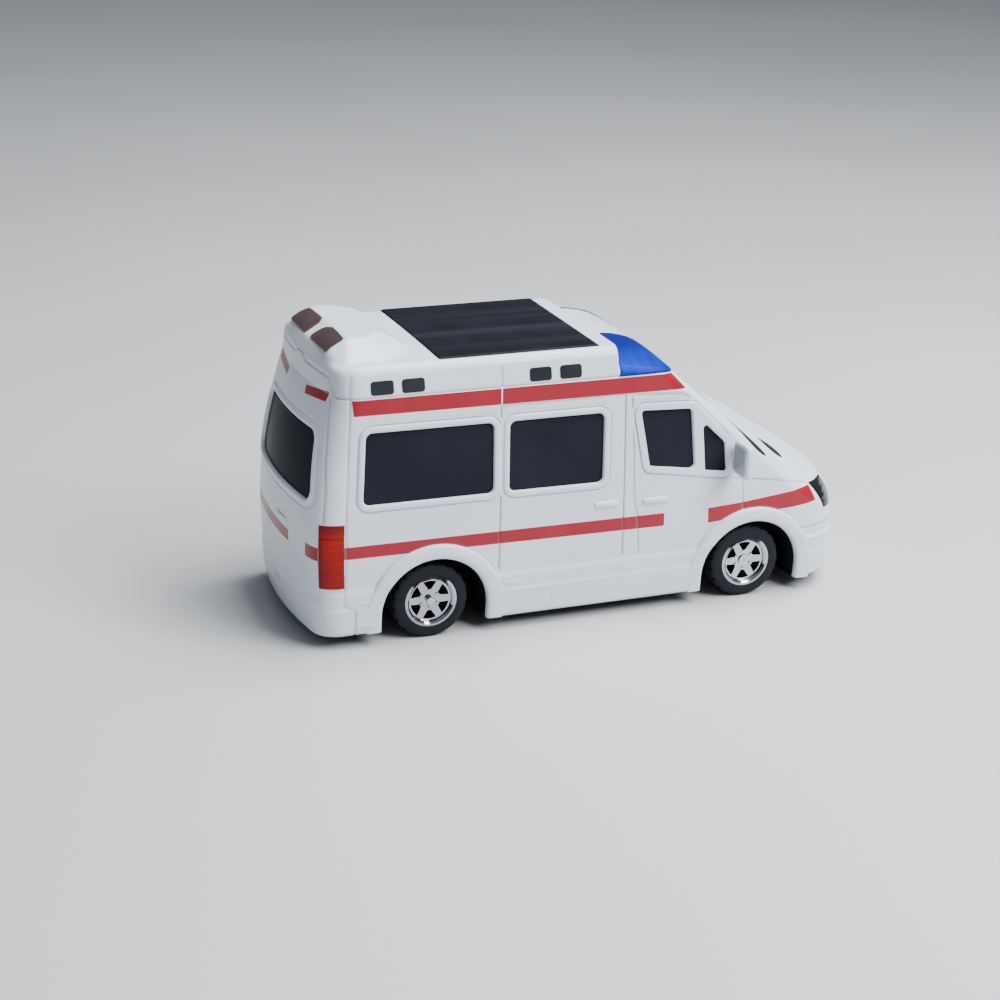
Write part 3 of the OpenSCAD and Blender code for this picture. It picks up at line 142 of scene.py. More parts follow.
# roof cap: leaning sides, bowed rear, windscreen slope and flat top, joined with a hump cut by flat facets;
# ahead of the front beacons' rear edge a sloped facet takes off each corner
def roofField(x, y, z):
    up = z - van["seam"]
    seamHalf = sideHalf(van["seam"])
    lean = np.clip(up / (roof["leanTop"] - van["seam"]), 0, roof["leanMost"])
    side = np.abs(y) - seamHalf - (roof["half"] - seamHalf) * lean
    end = rearEnd(van["seam"]) + roof["rearLean"] * up / (roof["top"] - van["seam"])
    rear = np.hypot(np.minimum(x - end - van["rearBow"], 0), y) - van["rearBow"]
    walls = softMax(side, rear, van["corner"])
    top = z - roof["top"] + roof["crown"] * (y / roof["crownHalf"]) ** 2
    field = softMax(walls, softMax(top, screenField(x, y, z), roof["screenEdge"]), roof["edge"])
    hump = z - roof["humpTop"]
    for point, out in roof["humpPlanes"]:
        hump = softMax(hump, facetField(x, y, z, point, out), roof["humpEdge"])
    hump = softMax(hump, walls + roof["humpInset"], roof["humpSide"])
    whole = softMin(field, hump, roof["humpFoot"])
    cut = softMax(whole, facetField(x, y, z, *roof["beaconPlane"]), roof["beaconEdge"])
    return np.where(x > roof["beaconX"], cut, whole)


# point where a ray leaves a field, by halving the interval for every ray at once
def castRays(field, origin, direction, reach=90.0):
    low = np.zeros(origin.shape[:-1])
    high = np.full(origin.shape[:-1], reach)
    for halving in range(32):
        mid = (low + high) / 2
        inside = field(*np.moveaxis(origin + direction * mid[..., None], -1, 0)) < 0
        low = np.where(inside, mid, low)
        high = np.where(inside, high, mid)
    return origin + direction * low[..., None]


def fieldNormal(field, p, shift=0.05):  # slope of the field by central differences
    ahead = [field(*np.moveaxis(p + step, -1, 0)) for step in shift * np.eye(3)]
    behind = [field(*np.moveaxis(p - step, -1, 0)) for step in shift * np.eye(3)]
    return unit(np.stack(ahead, -1) - np.stack(behind, -1))


def lift(field, p, height):  # surface points moved out along their normals
    return p + fieldNormal(field, p) * np.asarray(height)[..., None]


def drape(field, origin, direction, height):
    return lift(field, castRays(field, origin, direction), height)


def stack(x, y, z):
    return np.stack(np.broadcast_arrays(*[np.asarray(v, float) for v in (x, y, z)]), -1)


# where rays start: at an x or a z, or so far behind the front edge or under the windscreen
roots = {"rearX": 5.0, "upZ": 40.0, "nose": 40.0, "screen": 25.0}
# where the side panel hands over to the front: level and run of each slope's corner line, less a margin
handOver = {"slopes": [(71.4, 1.15), (65.1, 1.6)], "margin": 5.5, "most": 150.0}


def frontEdge(z):
    edge = np.max([van["cowlX"] - (z - level) * run for level, run in handOver["slopes"]], 0)
    return np.minimum(handOver["most"], edge - handOver["margin"])


def sideRays(side):
    return lambda x, z: (stack(x, 0, z), stack(0 * x, side, 0))


def rearRays(y, z):
    return stack(roots["rearX"], y, z), stack(-1, 0 * y, 0)


def noseRays(y, z):
    return stack(frontEdge(z) - roots["nose"], y, z), stack(1, 0 * y, 0)


def upRays(x, y):
    return stack(x, y, roots["upZ"]), stack(0 * x, 0, 1)


def screenRays(y, s):  # s runs up the windscreen from the cowl
    c = np.cos(van["screenSlope"])
    d = np.sin(van["screenSlope"])
    deep = roots["screen"]
    return stack(van["cowlX"] - s * c - deep * d, y, van["cowlZ"] + s * d - deep * c), stack(d + 0 * s, 0, c)


def gridFaces(rows, cols, wrap=False):  # quads between neighbouring rows and columns
    r, c = np.meshgrid(np.arange(rows - 1), np.arange(cols if wrap else cols - 1), indexing="ij")
    n = (c + 1) % cols
    return np.stack([r * cols + c, r * cols + n, (r + 1) * cols + n, (r + 1) * cols + c], -1).reshape(-1, 4)


def joinGrids(parts):  # several point and face sets as one
    points = [np.reshape(p, (-1, 3)) for p, f in parts]
    start = np.cumsum([0] + [len(p) for p in points])
    return np.concatenate(points), np.concatenate([f + s for (p, f), s in zip(parts, start)])


def faceOut(points, faces, centre):  # turns the faces round if they look towards the centre
    p = np.reshape(points, (-1, 3))
    across = np.cross(p[faces[:, 2]] - p[faces[:, 0]], p[faces[:, 3]] - p[faces[:, 1]])
    out = p[faces].mean(1) - np.asarray(centre, float)
    return faces if np.sum(across * out) > 0 else faces[:, ::-1]


finishes = {}


def makePiece(name, points, faces, look, hides=(), values=None, centre=van["middle"]):
    if centre:
        faces = faceOut(points, faces, centre)
    mesh = bpy.data.meshes.new(name)
    flat = (np.reshape(points, (-1, 3)) + [van["rearAxle"], 0, 0]) * 0.001
    mesh.from_pydata(flat.tolist(), [], faces.tolist())
    mesh.polygons.foreach_set("use_smooth", np.ones(len(mesh.polygons), bool))
    for key, field in (values or {}).items():
        layer = mesh.attributes.new(key, "FLOAT", "POINT")
        layer.data.foreach_set("value", np.ascontiguousarray(np.ravel(field), np.float32))
    mesh.materials.append(finishes[look])
    mesh.update()
    piece = bpy.data.objects.new(name, mesh)
    bpy.context.scene.collection.objects.link(piece)
    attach(piece, "van")
    if hides:
        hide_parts(*hides)
    return piece


def bothSides(make):
    for side, name in ((-1, "Right"), (1, "Left")):
        make(side, name)


def segmentDistance(a, b, line):  # distance to a straight line between two points
    a0, b0, a1, b1 = line
    t = np.clip(((a - a0) * (a1 - a0) + (b - b0) * (b1 - b0)) / ((a1 - a0) ** 2 + (b1 - b0) ** 2), 0, 1)
    return np.hypot(a - a0 - t * (a1 - a0), b - b0 - t * (b1 - b0))


def nearest(a, b, lines):
    return np.min([segmentDistance(a, b, line) for line in lines], 0)


# signed distance to a convex outline, corners counter-clockwise
def polygonDistance(a, b, corners, radius=0.0):
    pts = np.asarray(corners, float)
    step = np.roll(pts, -1, 0) - pts
    out = unit(np.stack([step[:, 1], -step[:, 0]], -1))
    d = np.stack([(a - p[0]) * n[0] + (b - p[1]) * n[1] + radius for p, n in zip(pts, out)])
    outside = np.sqrt(np.sum(np.maximum(d, 0) ** 2, 0))
    return np.where(d.max(0) > 0, outside, d.max(0)) - radius


# spacing along an outline and points round a corner; a pane's rings, how they close up, and its tucked rim
outline = {"gap": 0.7, "arcPoints": 9, "paneRings": 14, "paneClose": 1.2, "paneTuck": -1.2}


def roundOutline(corners, radius):  # points and outward normals along a rounded convex outline
    pts = np.asarray(corners, float)
    points = []
    normals = []
    for i in range(len(pts)):
        before = unit(pts[i] - pts[i - 1])
        after = unit(pts[(i + 1) % len(pts)] - pts[i])
        turn = np.arctan2(before[0] * after[1] - before[1] * after[0], before @ after)
        lead = np.arctan2(-before[0], before[1])
        centre = pts[i] - before * radius * np.tan(turn / 2) + np.array([-before[1], before[0]]) * radius
        angle = lead + turn * np.linspace(0, 1, outline["arcPoints"])
        ring = np.stack([np.cos(angle), np.sin(angle)], -1)
        arc = centre + radius * ring
        if points:
            points, normals = fillLine(points, normals, arc[0], ring[0])
        points += list(arc)
        normals += list(ring)
    points, normals = fillLine(points, normals, points[0], normals[0])
    return np.array(points), np.array(normals)


def fillLine(points, normals, end, normal):  # evenly spaced points on the straight between two corners
    count = max(2, int(np.linalg.norm(end - points[-1]) / outline["gap"]))
    t = np.linspace(0, 1, count + 1)[1:-1, None]
    return points + list(points[-1] + (end - points[-1]) * t), normals + [normal] * len(t)


def closedGrid(rays, a, b, height):  # grid draped on the body, its last row joined to its first
    points = drape(bodyField, *rays(a, b), np.broadcast_to(height, a.shape))
    closed = np.concatenate([points, points[:1]])
    return closed, gridFaces(*closed.shape[:2])


# frame swept round an outline laid on the body: profile holds distance out from the outline and height
def ringOn(rays, corners, radius, profile):
    path, normal = roundOutline(corners, radius)
    out, height = np.array(profile).T
    a, b = [path[:, i, None] + normal[:, i, None] * out for i in (0, 1)]
    return closedGrid(rays, a, b, height)


# pane inside an outline: rings shrinking to the middle at one height, the rim tucked under
def paneOn(rays, corners, radius, height):
    path = roundOutline(corners, radius)[0]
    middle = path.mean(0)
    shrink = np.linspace(0, 1, outline["paneRings"]) ** outline["paneClose"]
    t = np.concatenate([[1.0, 1.0], 1 - shrink[1:]])
    drop = np.where(np.arange(len(t)) == 0, outline["paneTuck"], 0.0)
    a, b = [middle[i] + (path[:, i] - middle[i])[:, None] * t for i in (0, 1)]
    return closedGrid(rays, a, b, height + drop)


# clustered stations: even spacing with extra lines either side of each groove
def stations(low, high, gap, marks):
    base = np.linspace(low, high, int(round((high - low) / gap)) + 1)
    extra = [m + d for m in marks for d in (-0.7, -0.45, -0.28, -0.14, 0, 0.14, 0.28, 0.45, 0.7)]
    clear = np.min(np.abs(base[:, None] - np.array(extra)), 1) > 0.12
    return np.unique(np.concatenate([base[clear], extra]))


def addNode(tree, kind, **settings):
    node = tree.nodes.new(kind)
    for key, value in settings.items():
        setattr(node, key, value)
    return node


def setInputs(node, **values):
    for key, value in values.items():
        node.inputs[key.replace("_", " ")].default_value = value
    return node


def objectCoords(tree):
    return addNode(tree, "ShaderNodeTexCoord").outputs["Object"]


def mapVector(tree, vector, **values):
    node = setInputs(addNode(tree, "ShaderNodeMapping"), **values)
    tree.links.new(vector, node.inputs["Vector"])
    return node.outputs["Vector"]


def noiseNode(tree, vector, **values):
    node = setInputs(addNode(tree, "ShaderNodeTexNoise"), **values)
    tree.links.new(vector, node.inputs["Vector"])
    return node


def attributeValue(tree, name):
    return addNode(tree, "ShaderNodeAttribute", attribute_name=name).outputs["Fac"]


def mathNode(tree, operation, a, b, clamp=False):
    node = addNode(tree, "ShaderNodeMath", operation=operation, use_clamp=clamp)
    tree.links.new(a, node.inputs[0])
    tree.links.new(b, node.inputs[1])
    return node.outputs[0]


def mixColours(tree, factor, a, b):  # either colour is three numbers or another node's output
    mix = addNode(tree, "ShaderNodeMix", data_type="RGBA")
    tree.links.new(factor, mix.inputs[0])
    for socket, value in ((mix.inputs[6], a), (mix.inputs[7], b)):
        if isinstance(value, tuple):
            socket.default_value = (*value, 1.0)
        else:
            tree.links.new(value, socket)
    return mix.outputs[2]


def spanNode(tree, value, low, high, start=0.0, end=1.0):
    node = addNode(tree, "ShaderNodeMapRange", clamp=True)
    setInputs(node, From_Min=low, From_Max=high, To_Min=start, To_Max=end)
    tree.links.new(value, node.inputs["Value"])
    return node.outputs[0]


def bumpInto(tree, shader, height, strength, distance):
    node = setInputs(addNode(tree, "ShaderNodeBump"), Strength=strength, Distance=distance)
    tree.links.new(height, node.inputs["Height"])
    tree.links.new(node.outputs["Normal"], shader.inputs["Normal"])


def nodeGroup(name, inputs, outputs):
    group = bpy.data.node_groups.new(name, "ShaderNodeTree")
    for label, value in inputs.items():
        socket = group.interface.new_socket(label, in_out="INPUT", socket_type="NodeSocketFloat")
        socket.default_value = value
    for label in outputs:
        group.interface.new_socket(label, in_out="OUTPUT", socket_type="NodeSocketFloat")
    return group, group.nodes.new("NodeGroupInput"), group.nodes.new("NodeGroupOutput")


def placeGroup(tree, group, **values):
    return setInputs(addNode(tree, "ShaderNodeGroup", node_tree=group), **values)


# moulding grain: fine noise as a height and a slow mottle as a 0 to 1 value
def makeGrainGroup():
    scales = {"Fine Scale": 900.0, "Mottle Scale": 40.0}
    group, source, sink = nodeGroup("mouldedGrain", scales, ["Height", "Mottle"])
    coords = objectCoords(group)
    fine = noiseNode(group, coords, Detail=3.0, Roughness=0.6)
    slow = noiseNode(group, coords, Detail=2.0, Roughness=0.5)
    for node, scale, result in ((fine, "Fine Scale", "Height"), (slow, "Mottle Scale", "Mottle")):
        group.links.new(source.outputs[scale], node.inputs["Scale"])
        group.links.new(node.outputs["Fac"], sink.inputs[result])
    return group


# scuffs: thin stretched noise lines gathered by a second noise, as a 0 to 1 mask
def makeScuffGroup():
    group, source, sink = nodeGroup("fineScuffs", {"Scale": 120.0, "Amount": 0.3}, ["Mask"])
    coords = objectCoords(group)
    turned = mapVector(group, coords, Scale=(1.0, 1.0, 9.0), Rotation=(0.3, 0.5, 0.2))
    line = noiseNode(group, turned, Detail=4.0, Roughness=0.7)
    group.links.new(source.outputs["Scale"], line.inputs["Scale"])
    gather = noiseNode(group, coords, Scale=25.0, Detail=1.0)
    sharp = spanNode(group, line.outputs["Fac"], 0.62, 0.72)
    spread = spanNode(group, gather.outputs["Fac"], 0.5, 0.7)
    both = mathNode(group, "MULTIPLY", sharp, spread)
    group.links.new(mathNode(group, "MULTIPLY", both, source.outputs["Amount"]), sink.inputs["Mask"])
    return group


grainGroup = makeGrainGroup()
scuffGroup = makeScuffGroup()
mottleSpan = (0.3, 0.7)


# plastic, rubber or metal: two close shades by the mottle, roughness by mottle and scuffs, grain as bump
def makeFinish(name, light, dark, rough, metal=0.0, coat=0.0, grain=900.0, mottle=40.0, bump=0.05, scuff=0.2,
               shine=0.4, ior=1.5):
    finishes[name] = bpy.data.materials.new(name)
    finishes[name].use_nodes = True
    tree = finishes[name].node_tree
    shader = tree.nodes["Principled BSDF"]
    texture = placeGroup(tree, grainGroup, Fine_Scale=grain, Mottle_Scale=mottle)
    marks = placeGroup(tree, scuffGroup, Amount=scuff)
    colour = mixColours(tree, spanNode(tree, texture.outputs["Mottle"], *mottleSpan), dark, light)
    tree.links.new(colour, shader.inputs["Base Color"])
    level = spanNode(tree, texture.outputs["Mottle"], *mottleSpan, *rough)
    tree.links.new(mathNode(tree, "ADD", level, marks.outputs["Mask"], True), shader.inputs["Roughness"])
    bumpInto(tree, shader, texture.outputs["Height"], bump, 0.0004)
    setInputs(shader, Metallic=metal, Coat_Weight=coat, Coat_Roughness=0.08)
    setInputs(shader, Specular_IOR_Level=shine, IOR=ior)
    return tree, shader, colour


paint = {
    # groove: colour of the painted shade in grooves, creases and the roof seam
    "white": (0.755, 0.81, 0.875), "whiteLow": (0.715, 0.77, 0.84), "groove": (0.22, 0.225, 0.24),
    "red": (0.36, 0.0075, 0.022), "redLow": (0.305, 0.006, 0.0175), "printEdge": 0.06,
    "moulding": dict(rough=(0.26, 0.34), coat=0.1, bump=0.03, scuff=0.03, shine=0.35),
}


# white moulding with printed red bands: the band attribute is the distance to the print in millimetres; the
# groove attribute mixes in painted shade along grooves, creases and the roof seam
def makeBodyWhite():
    tree, shader, colour = makeFinish("bodyWhite", paint["white"], paint["whiteLow"], **paint["moulding"])
    texture = placeGroup(tree, grainGroup, Fine_Scale=400.0, Mottle_Scale=60.0)
    mottled = spanNode(tree, texture.outputs["Mottle"], *mottleSpan)
    red = mixColours(tree, mottled, paint["redLow"], paint["red"])
    printed = spanNode(tree, attributeValue(tree, "band"), paint["printEdge"], -paint["printEdge"])
    shade = mixColours(tree, printed, colour, red)
    # painted shade in the grooves, creases and roof seam, weighted by the groove attribute
    shade = mixColours(tree, attributeValue(tree, "groove"), shade, paint["groove"])
    tree.links.new(shade, shader.inputs["Base Color"])


makeBodyWhite()
makeFinish("plainWhite", paint["white"], paint["whiteLow"], **paint["moulding"])
makeFinish("darkGlass", (0.0205, 0.0225, 0.031), (0.016, 0.018, 0.0255), (0.2, 0.28), bump=0.0, scuff=0.06,
           shine=0.12, ior=1.12)
makeFinish("satinBlack", (0.018, 0.0195, 0.025), (0.013, 0.0145, 0.0185), (0.42, 0.55), bump=0.12, shine=0.2)
makeFinish("wellBlack", (0.011, 0.012, 0.016), (0.008, 0.009, 0.012), (0.7, 0.85), bump=0.1, shine=0.08)
makeFinish("chromePlate", (0.52, 0.53, 0.56), (0.40, 0.41, 0.44), (0.06, 0.12), metal=1.0,
           bump=0.02, scuff=0.15)
makeFinish("tyreRubber", (0.016, 0.017, 0.0215), (0.011, 0.012, 0.0155), (0.62, 0.8), grain=1400.0, bump=0.25,
           shine=0.15)
makeFinish("platedSteel", (0.62, 0.62, 0.64), (0.5, 0.5, 0.53), (0.22, 0.34), metal=1.0, bump=0.06)
makeFinish("gearNylon", (0.83, 0.79, 0.66), (0.76, 0.71, 0.57), (0.4, 0.52), bump=0.08)
makeFinish("mirrorSilver", (0.42, 0.44, 0.47), (0.36, 0.38, 0.41), (0.2, 0.28), coat=0.3,
           bump=0.0, scuff=0.08)
makeFinish("switchRed", (0.4, 0.03, 0.03), (0.3, 0.02, 0.02), (0.35, 0.45), bump=0.1)
makeFinish("boardGreen", (0.03, 0.2, 0.07), (0.02, 0.13, 0.05), (0.25, 0.4), mottle=120.0, bump=0.1)
makeFinish("ledClear", (0.7, 0.78, 0.88), (0.6, 0.69, 0.8), (0.1, 0.16), coat=0.4, bump=0.02)
makeFinish("cellJacket", (0.5, 0.36, 0.06), (0.1, 0.09, 0.08), (0.22, 0.3), coat=0.3, mottle=18.0, bump=0.02)


# coloured lens: ribs as painted shade and bump, painted shade towards the top of a height span in metres, and
# darker by the deep attribute
def makeLens(name, light, dark, ribs, direction="Z", strength=0.1, paintedShadeSpan=None, shine=0.3, ior=1.5):
    tree, shader, colour = makeFinish(name, light, dark, (0.12, 0.2), bump=0.0, scuff=0.05,
                                      shine=shine, ior=ior)
    coords = objectCoords(tree)
    wave = addNode(tree, "ShaderNodeTexWave", wave_type="BANDS", bands_direction=direction,
                   wave_profile="SIN")
    setInputs(wave, Scale=ribs, Distortion=0.0)
    tree.links.new(coords, wave.inputs["Vector"])
    shade = mixColours(tree, spanNode(tree, wave.outputs["Fac"], 0.1, 0.9, 0.0, 0.2), colour, dark)
    # painted shade rising towards the top of the height span
    if paintedShadeSpan:
        parts = addNode(tree, "ShaderNodeSeparateXYZ")
        tree.links.new(coords, parts.inputs[0])
        shade = mixColours(tree, spanNode(tree, parts.outputs["Z"], *paintedShadeSpan), shade, dark)
    # deep attribute: painted shade on a tail lamp's rear-facing part, and its darker top band
    shade = mixColours(tree, attributeValue(tree, "deep"), shade, dark)
    tree.links.new(shade, shader.inputs["Base Color"])
    bumpInto(tree, shader, wave.outputs["Fac"], strength, 0.0006)


# blue lens: painted shade over its top, rising from 105.5 mm to full at 110.5 mm
makeLens("blueLens", (0.0045, 0.05, 0.52), (0.009, 0.013, 0.165), 60.0, "X", 0.0, (0.1055, 0.1105), 0.12, 1.2)
makeLens("brownLens", (0.08, 0.05, 0.053), (0.036, 0.023, 0.026), 150.0, "Y")
makeLens("redLens", (0.41, 0.0085, 0.0055), (0.07, 0.011, 0.0105), 110.0, strength=0.03, shine=0.15)
makeLens("smokeLens", (0.013, 0.014, 0.018), (0.007, 0.008, 0.011), 140.0, strength=0.08)
print("finishes ready")

# printed bands and moulded lines, side view as x then z
sideMarks = {
    "bands": [[(-32.2, 95.5), (107.9, 94.5), (101.4, 101.3), (-32.7, 101.6)],
              [(-42.0, 38.3), (100.3, 36.9), (100.1, 42.5), (-42.0, 43.3)],
              [(120.4, 35.8), (136.6, 37.0), (136.1, 43.3), (120.0, 42.4)],
              [(136.4, 37.0), (154.0, 38.2), (172.2, 39.3), (169.2, 45.8), (163.4, 46.1), (136.0, 43.3)]],
    "bare": [(28.1, 94.0, 28.2, 103.0)], "bareHalf": 0.28,
    "grooves": [(28.0, 26.2, 27.8, 94.2), (81.9, 26.2, 81.2, 75.6), (81.2, 75.6, 81.0, 94.3),
                (84.0, 92.6, 85.1, 75.2), (85.1, 75.2, 86.1, 49.6), (86.1, 49.6, 87.8, 43.5),
                (87.8, 43.5, 89.3, 26.0), (-36.0, 26.5, -35.7, 54.9), (-35.7, 54.9, -34.7, 78.9),
                (-34.7, 78.9, -33.3, 102.0), (135.4, 53.6, 136.3, 38.5), (131.5, 54.2, 150.0, 51.6),
                (150.0, 51.6, 168.2, 47.2), (81.0, 94.3, 106.0, 92.6), (106.0, 92.6, 110.6, 90.2),
                (110.6, 90.2, 129.0, 70.4), (28.0, 94.2, 81.0, 94.3), (111.0, 87.4, 126.0, 71.0),
                (164.0, 28.4, 181.0, 28.4), (-36.2, 26.0, -36.3, 18.5), (-36.3, 18.5, -31.9, 16.4),
                (-31.9, 16.4, -32.0, 5.0)],
    "ridges": [(29.0, 17.2, 113.0, 17.7), (31.0, 20.4, 36.0, 20.4), (82.4, 20.4, 87.4, 20.4),
               (-30.4, 19.2, -24.5, 19.2), (-30.4, 9.2, -24.5, 9.2), (166.0, 23.4, 181.0, 23.4),
               (166.5, 13.2, 173.0, 14.4)],
}
rearMarks = {  # y then z
    "grooves": [(41.6, 53.5, 41.0, 67.0), (41.0, 67.0, 38.1, 86.1), (38.1, 86.1, 34.2, 101.0)],
    "bands": [[(-40.6, 37.7), (-32.9, 37.7), (-32.9, 43.3), (-40.6, 43.2)],
              [(-16.6, 37.8), (40.6, 37.8), (40.6, 42.9), (-16.6, 42.4)],
              [(-31.4, 99.2), (-12.6, 97.2), (-11.8, 100.4), (-32.8, 103.4)],
              [(12.6, 97.2), (31.4, 99.2), (32.8, 103.4), (11.8, 100.4)]],
    "seam": [(0, 111.0, 3.6, 111.0), (3.6, 111.0, 7.2, 108.9), (7.2, 108.9, 31.4, 108.9),
             (31.4, 108.9, 33.4, 105.2), (33.4, 105.2, 36.6, 102.0), (36.6, 102.0, 42.0, 102.0)],
}
# depth or height of each moulding, its half width, and the painted shade it lays on the white
moulding = {
    "groove": 0.5, "grooveHalf": 0.3, "grooveShade": 0.34, "ridge": 0.4, "ridgeHalf": 0.55,
    "crease": 0.15, "creaseOut": 6.35, "creaseHalf": 0.3, "creaseZ": (24.0, 27.0), "creaseShade": 0.8,
    "seam": 0.4, "seamHalf": 0.36, "shade": 0.5, "pocket": -1.7, "pocketRim": 3.5,
}
# corners and corner radius of each pane: x then z on the side, y then z on the rear,
# y then rise on the windscreen
windows = {
    "load": ([(-28.8, 59.5), (25.0, 59.2), (25.0, 88.0), (-27.4, 88.4)], 2.6),
    "slide": ([(31.6, 59.2), (72.0, 58.8), (72.0, 87.7), (31.6, 87.9)], 2.6),
    "door": ([(92.2, 63.4), (112.7, 60.4), (110.4, 86.2), (87.5, 87.5)], 2.2),
    "quarter": ([(117.7, 59.0), (127.4, 57.8), (126.1, 70.4), (115.8, 80.0)], 1.2),
}
cabOutline = ([(92.2, 63.4), (117.7, 58.9), (127.4, 57.6), (126.4, 70.6), (110.6, 86.4), (87.5, 87.5)], 1.5)
rearPane = ([(-35.4, 60.4), (35.4, 60.4), (30.4, 87.2), (-30.4, 87.2)], 4.5)
screenPane = ([(-34.0, 4.0), (34.0, 4.0), (31.0, 34.0), (-31.0, 34.0)], 5.0)
arches = {"centres": (1.5, 141.5), "z": 12.0, "r": 22.2, "cut": 3.4, "whole": 1e3}


def archDistance(x, z):  # distance outside the nearer arch, which runs straight down below its centre
    gaps = [np.hypot(x - centre, np.maximum(z - arches["z"], 0)) for centre in arches["centres"]]
    return np.min(gaps, 0) - arches["r"]


# height of the mouldings above the bare side and the painted shade in them: lines as bell curves, a crease
# round the flares
def sideRelief(x, z):
    line = nearest(x, z, sideMarks["grooves"])
    ridge = bell(nearest(x, z, sideMarks["ridges"]), moulding["ridgeHalf"])
    crease = bell(archDistance(x, z) - moulding["creaseOut"], moulding["creaseHalf"])
    crease = crease * ease(z, *moulding["creaseZ"])
    height = moulding["ridge"] * ridge - moulding["groove"] * bell(line, moulding["grooveHalf"])
    # painted shade in the grooves and in the crease round the flares
    shade = np.maximum(bell(line, moulding["grooveShade"]), moulding["creaseShade"] * crease)
    return height - moulding["crease"] * crease, shade


def windowPocket(x, z):  # the skin sinks under the side panes and their frames
    gap = np.min([polygonDistance(x, z, *pane) for pane in [*windows.values(), cabOutline]], 0)
    return np.where(gap < moulding["pocketRim"], moulding["pocket"], 0.0)


def bandDistance(x, z):
    printed = np.min([polygonDistance(x, z, corners) for corners in sideMarks["bands"]], 0)
    return np.maximum(printed, sideMarks["bareHalf"] - nearest(x, z, sideMarks["bare"]))


def rearBandDistance(y, z):
    return np.min([polygonDistance(y, z, corners) for corners in rearMarks["bands"]], 0)


def seamDip(z):  # bell-shaped groove where the roof meets the body, also the weight of the painted shade along it
    return bell(z - van["seam"], moulding["seamHalf"])


def bodyFaces(x, z, whole=False):  # grid faces less those inside an arch, apart from what stays whole
    faces = gridFaces(*x.shape)
    return faces[(archDistance(x, z) + whole * arches["whole"]).ravel()[faces].max(1) >= arches["cut"]]


# rows up the body as height and offset: an inner hem, the sill edge, then past the seam and in under the roof
rows = {
    "hem": [(18.0, -2.2), (6.0, -2.2), (5.5, -1.6), (5.4, -0.7)], "gap": 0.6, "marks": (25.0, 53.0),
    "top": 101.0, "seam": (101.2, 6), "underRoof": [(102.2, -0.05), (102.8, -0.5), (102.8, -1.6)],
}
plainRows = np.concatenate([stations(van["sill"], rows["top"], rows["gap"], rows["marks"]),
                            np.linspace(rows["seam"][0], van["seam"], rows["seam"][1])])
rowZ, rowH = np.array(rows["hem"] + [(z, 0.0) for z in plainRows] + rows["underRoof"]).T
sidePanel = {"rear": -14.0, "bend": 84.0, "gap": 0.6, "marks": (27.9, 81.5), "frontColumns": 150}


# side: upright columns as far as the bend, then columns leaning with the front edge
def makeSide(side, name):
    bend = sidePanel["bend"]
    upright = stations(sidePanel["rear"], bend, sidePanel["gap"], sidePanel["marks"])
    leaning = np.linspace(0, 1, sidePanel["frontColumns"])[1:]
    z = rowZ[:, None]
    x = np.concatenate([upright + 0 * z, bend + leaning * (frontEdge(z) - bend)], 1)
    z = np.broadcast_to(z, x.shape)
    relief, groove = sideRelief(x, z)
    height = rowH[:, None] + relief + windowPocket(x, z) - moulding["seam"] * seamDip(z)
    points = drape(bodyField, *sideRays(side)(x, z), height)
    # groove attribute: painted shade in the grooves, the flare crease and the roof seam
    values = {"band": bandDistance(x, z), "groove": np.maximum(groove, seamDip(z)) * moulding["shade"]}
    return makePiece("bodySide" + name, points, bodyFaces(x, z), "bodyWhite", values=values)


rearPanel = {
    "startX": -19.0, "columns": 330, "sideBlend": (-1.6, -0.8), "bandSplit": -1.3, "seamY": (36.0, 37.0),
    # shadeHalf and shade: spread and strength of the painted shade in the tailgate groove
    "groove": 0.4, "grooveHalf": 0.4, "shadeHalf": 0.45, "shade": 0.7,
    "sidePocketX": -36.0, "pocketX": -35.0, "pocketRim": 3.3, "archX": -30.0,
}


# rear: rays fanned round from one side to the other behind the rear axle
def makeRear():
    z = rowZ[:, None]
    start = np.arctan2(sideHalf(z) + skirtReach(z), rearPanel["startX"])
    turn = start + (2 * np.pi - 2 * start) * np.linspace(0, 1, rearPanel["columns"])
    origin = stack(roots["rearX"], 0.0, z + 0 * turn)
    bare = castRays(bodyField, origin, stack(np.cos(turn), np.sin(turn), 0))
    x, y, z = np.moveaxis(bare, -1, 0)
    relief, groove = sideRelief(x, z)
    inset = np.abs(y) - sideHalf(z)
    sidePart = ease(inset, *rearPanel["sideBlend"])
    tail = nearest(np.abs(y), z, rearMarks["grooves"])
    tailLine = rearPanel["groove"] * bell(tail, rearPanel["grooveHalf"]) * (1 - sidePart)
    # painted shade in the tailgate groove
    tailPaintedShade = bell(tail, rearPanel["shadeHalf"]) * (1 - sidePart) * rearPanel["shade"]
    dip = seamDip(z) * ease(np.abs(y), *rearPanel["seamY"])
    relief = relief * sidePart - tailLine - moulding["seam"] * dip
    groove = np.maximum(np.maximum(groove * sidePart, tailPaintedShade), dip)
    inPane = (polygonDistance(y, z, *rearPane) < rearPanel["pocketRim"]) & (x < rearPanel["pocketX"])
    pocket = windowPocket(x, z) * (x > rearPanel["sidePocketX"]) + inPane * moulding["pocket"]
    points = lift(bodyField, bare, rowH[:, None] + relief + pocket)
    band = np.where(inset > rearPanel["bandSplit"], bandDistance(x, z), rearBandDistance(y, z))
    # groove attribute: painted shade in the grooves and the roof seam
    values = {"band": band, "groove": groove * moulding["shade"]}
    makePiece("bodyRear", points, bodyFaces(x, z, x < rearPanel["archX"]), "bodyWhite", values=values)


frontPanel = {
    "columns": 300, "reach": 130.0, "sideY": (28.0, 34.0), "pocketRim": 0.6, "archY": 36.0,
    "bareY": 30.0, "bareOff": 50.0,
}


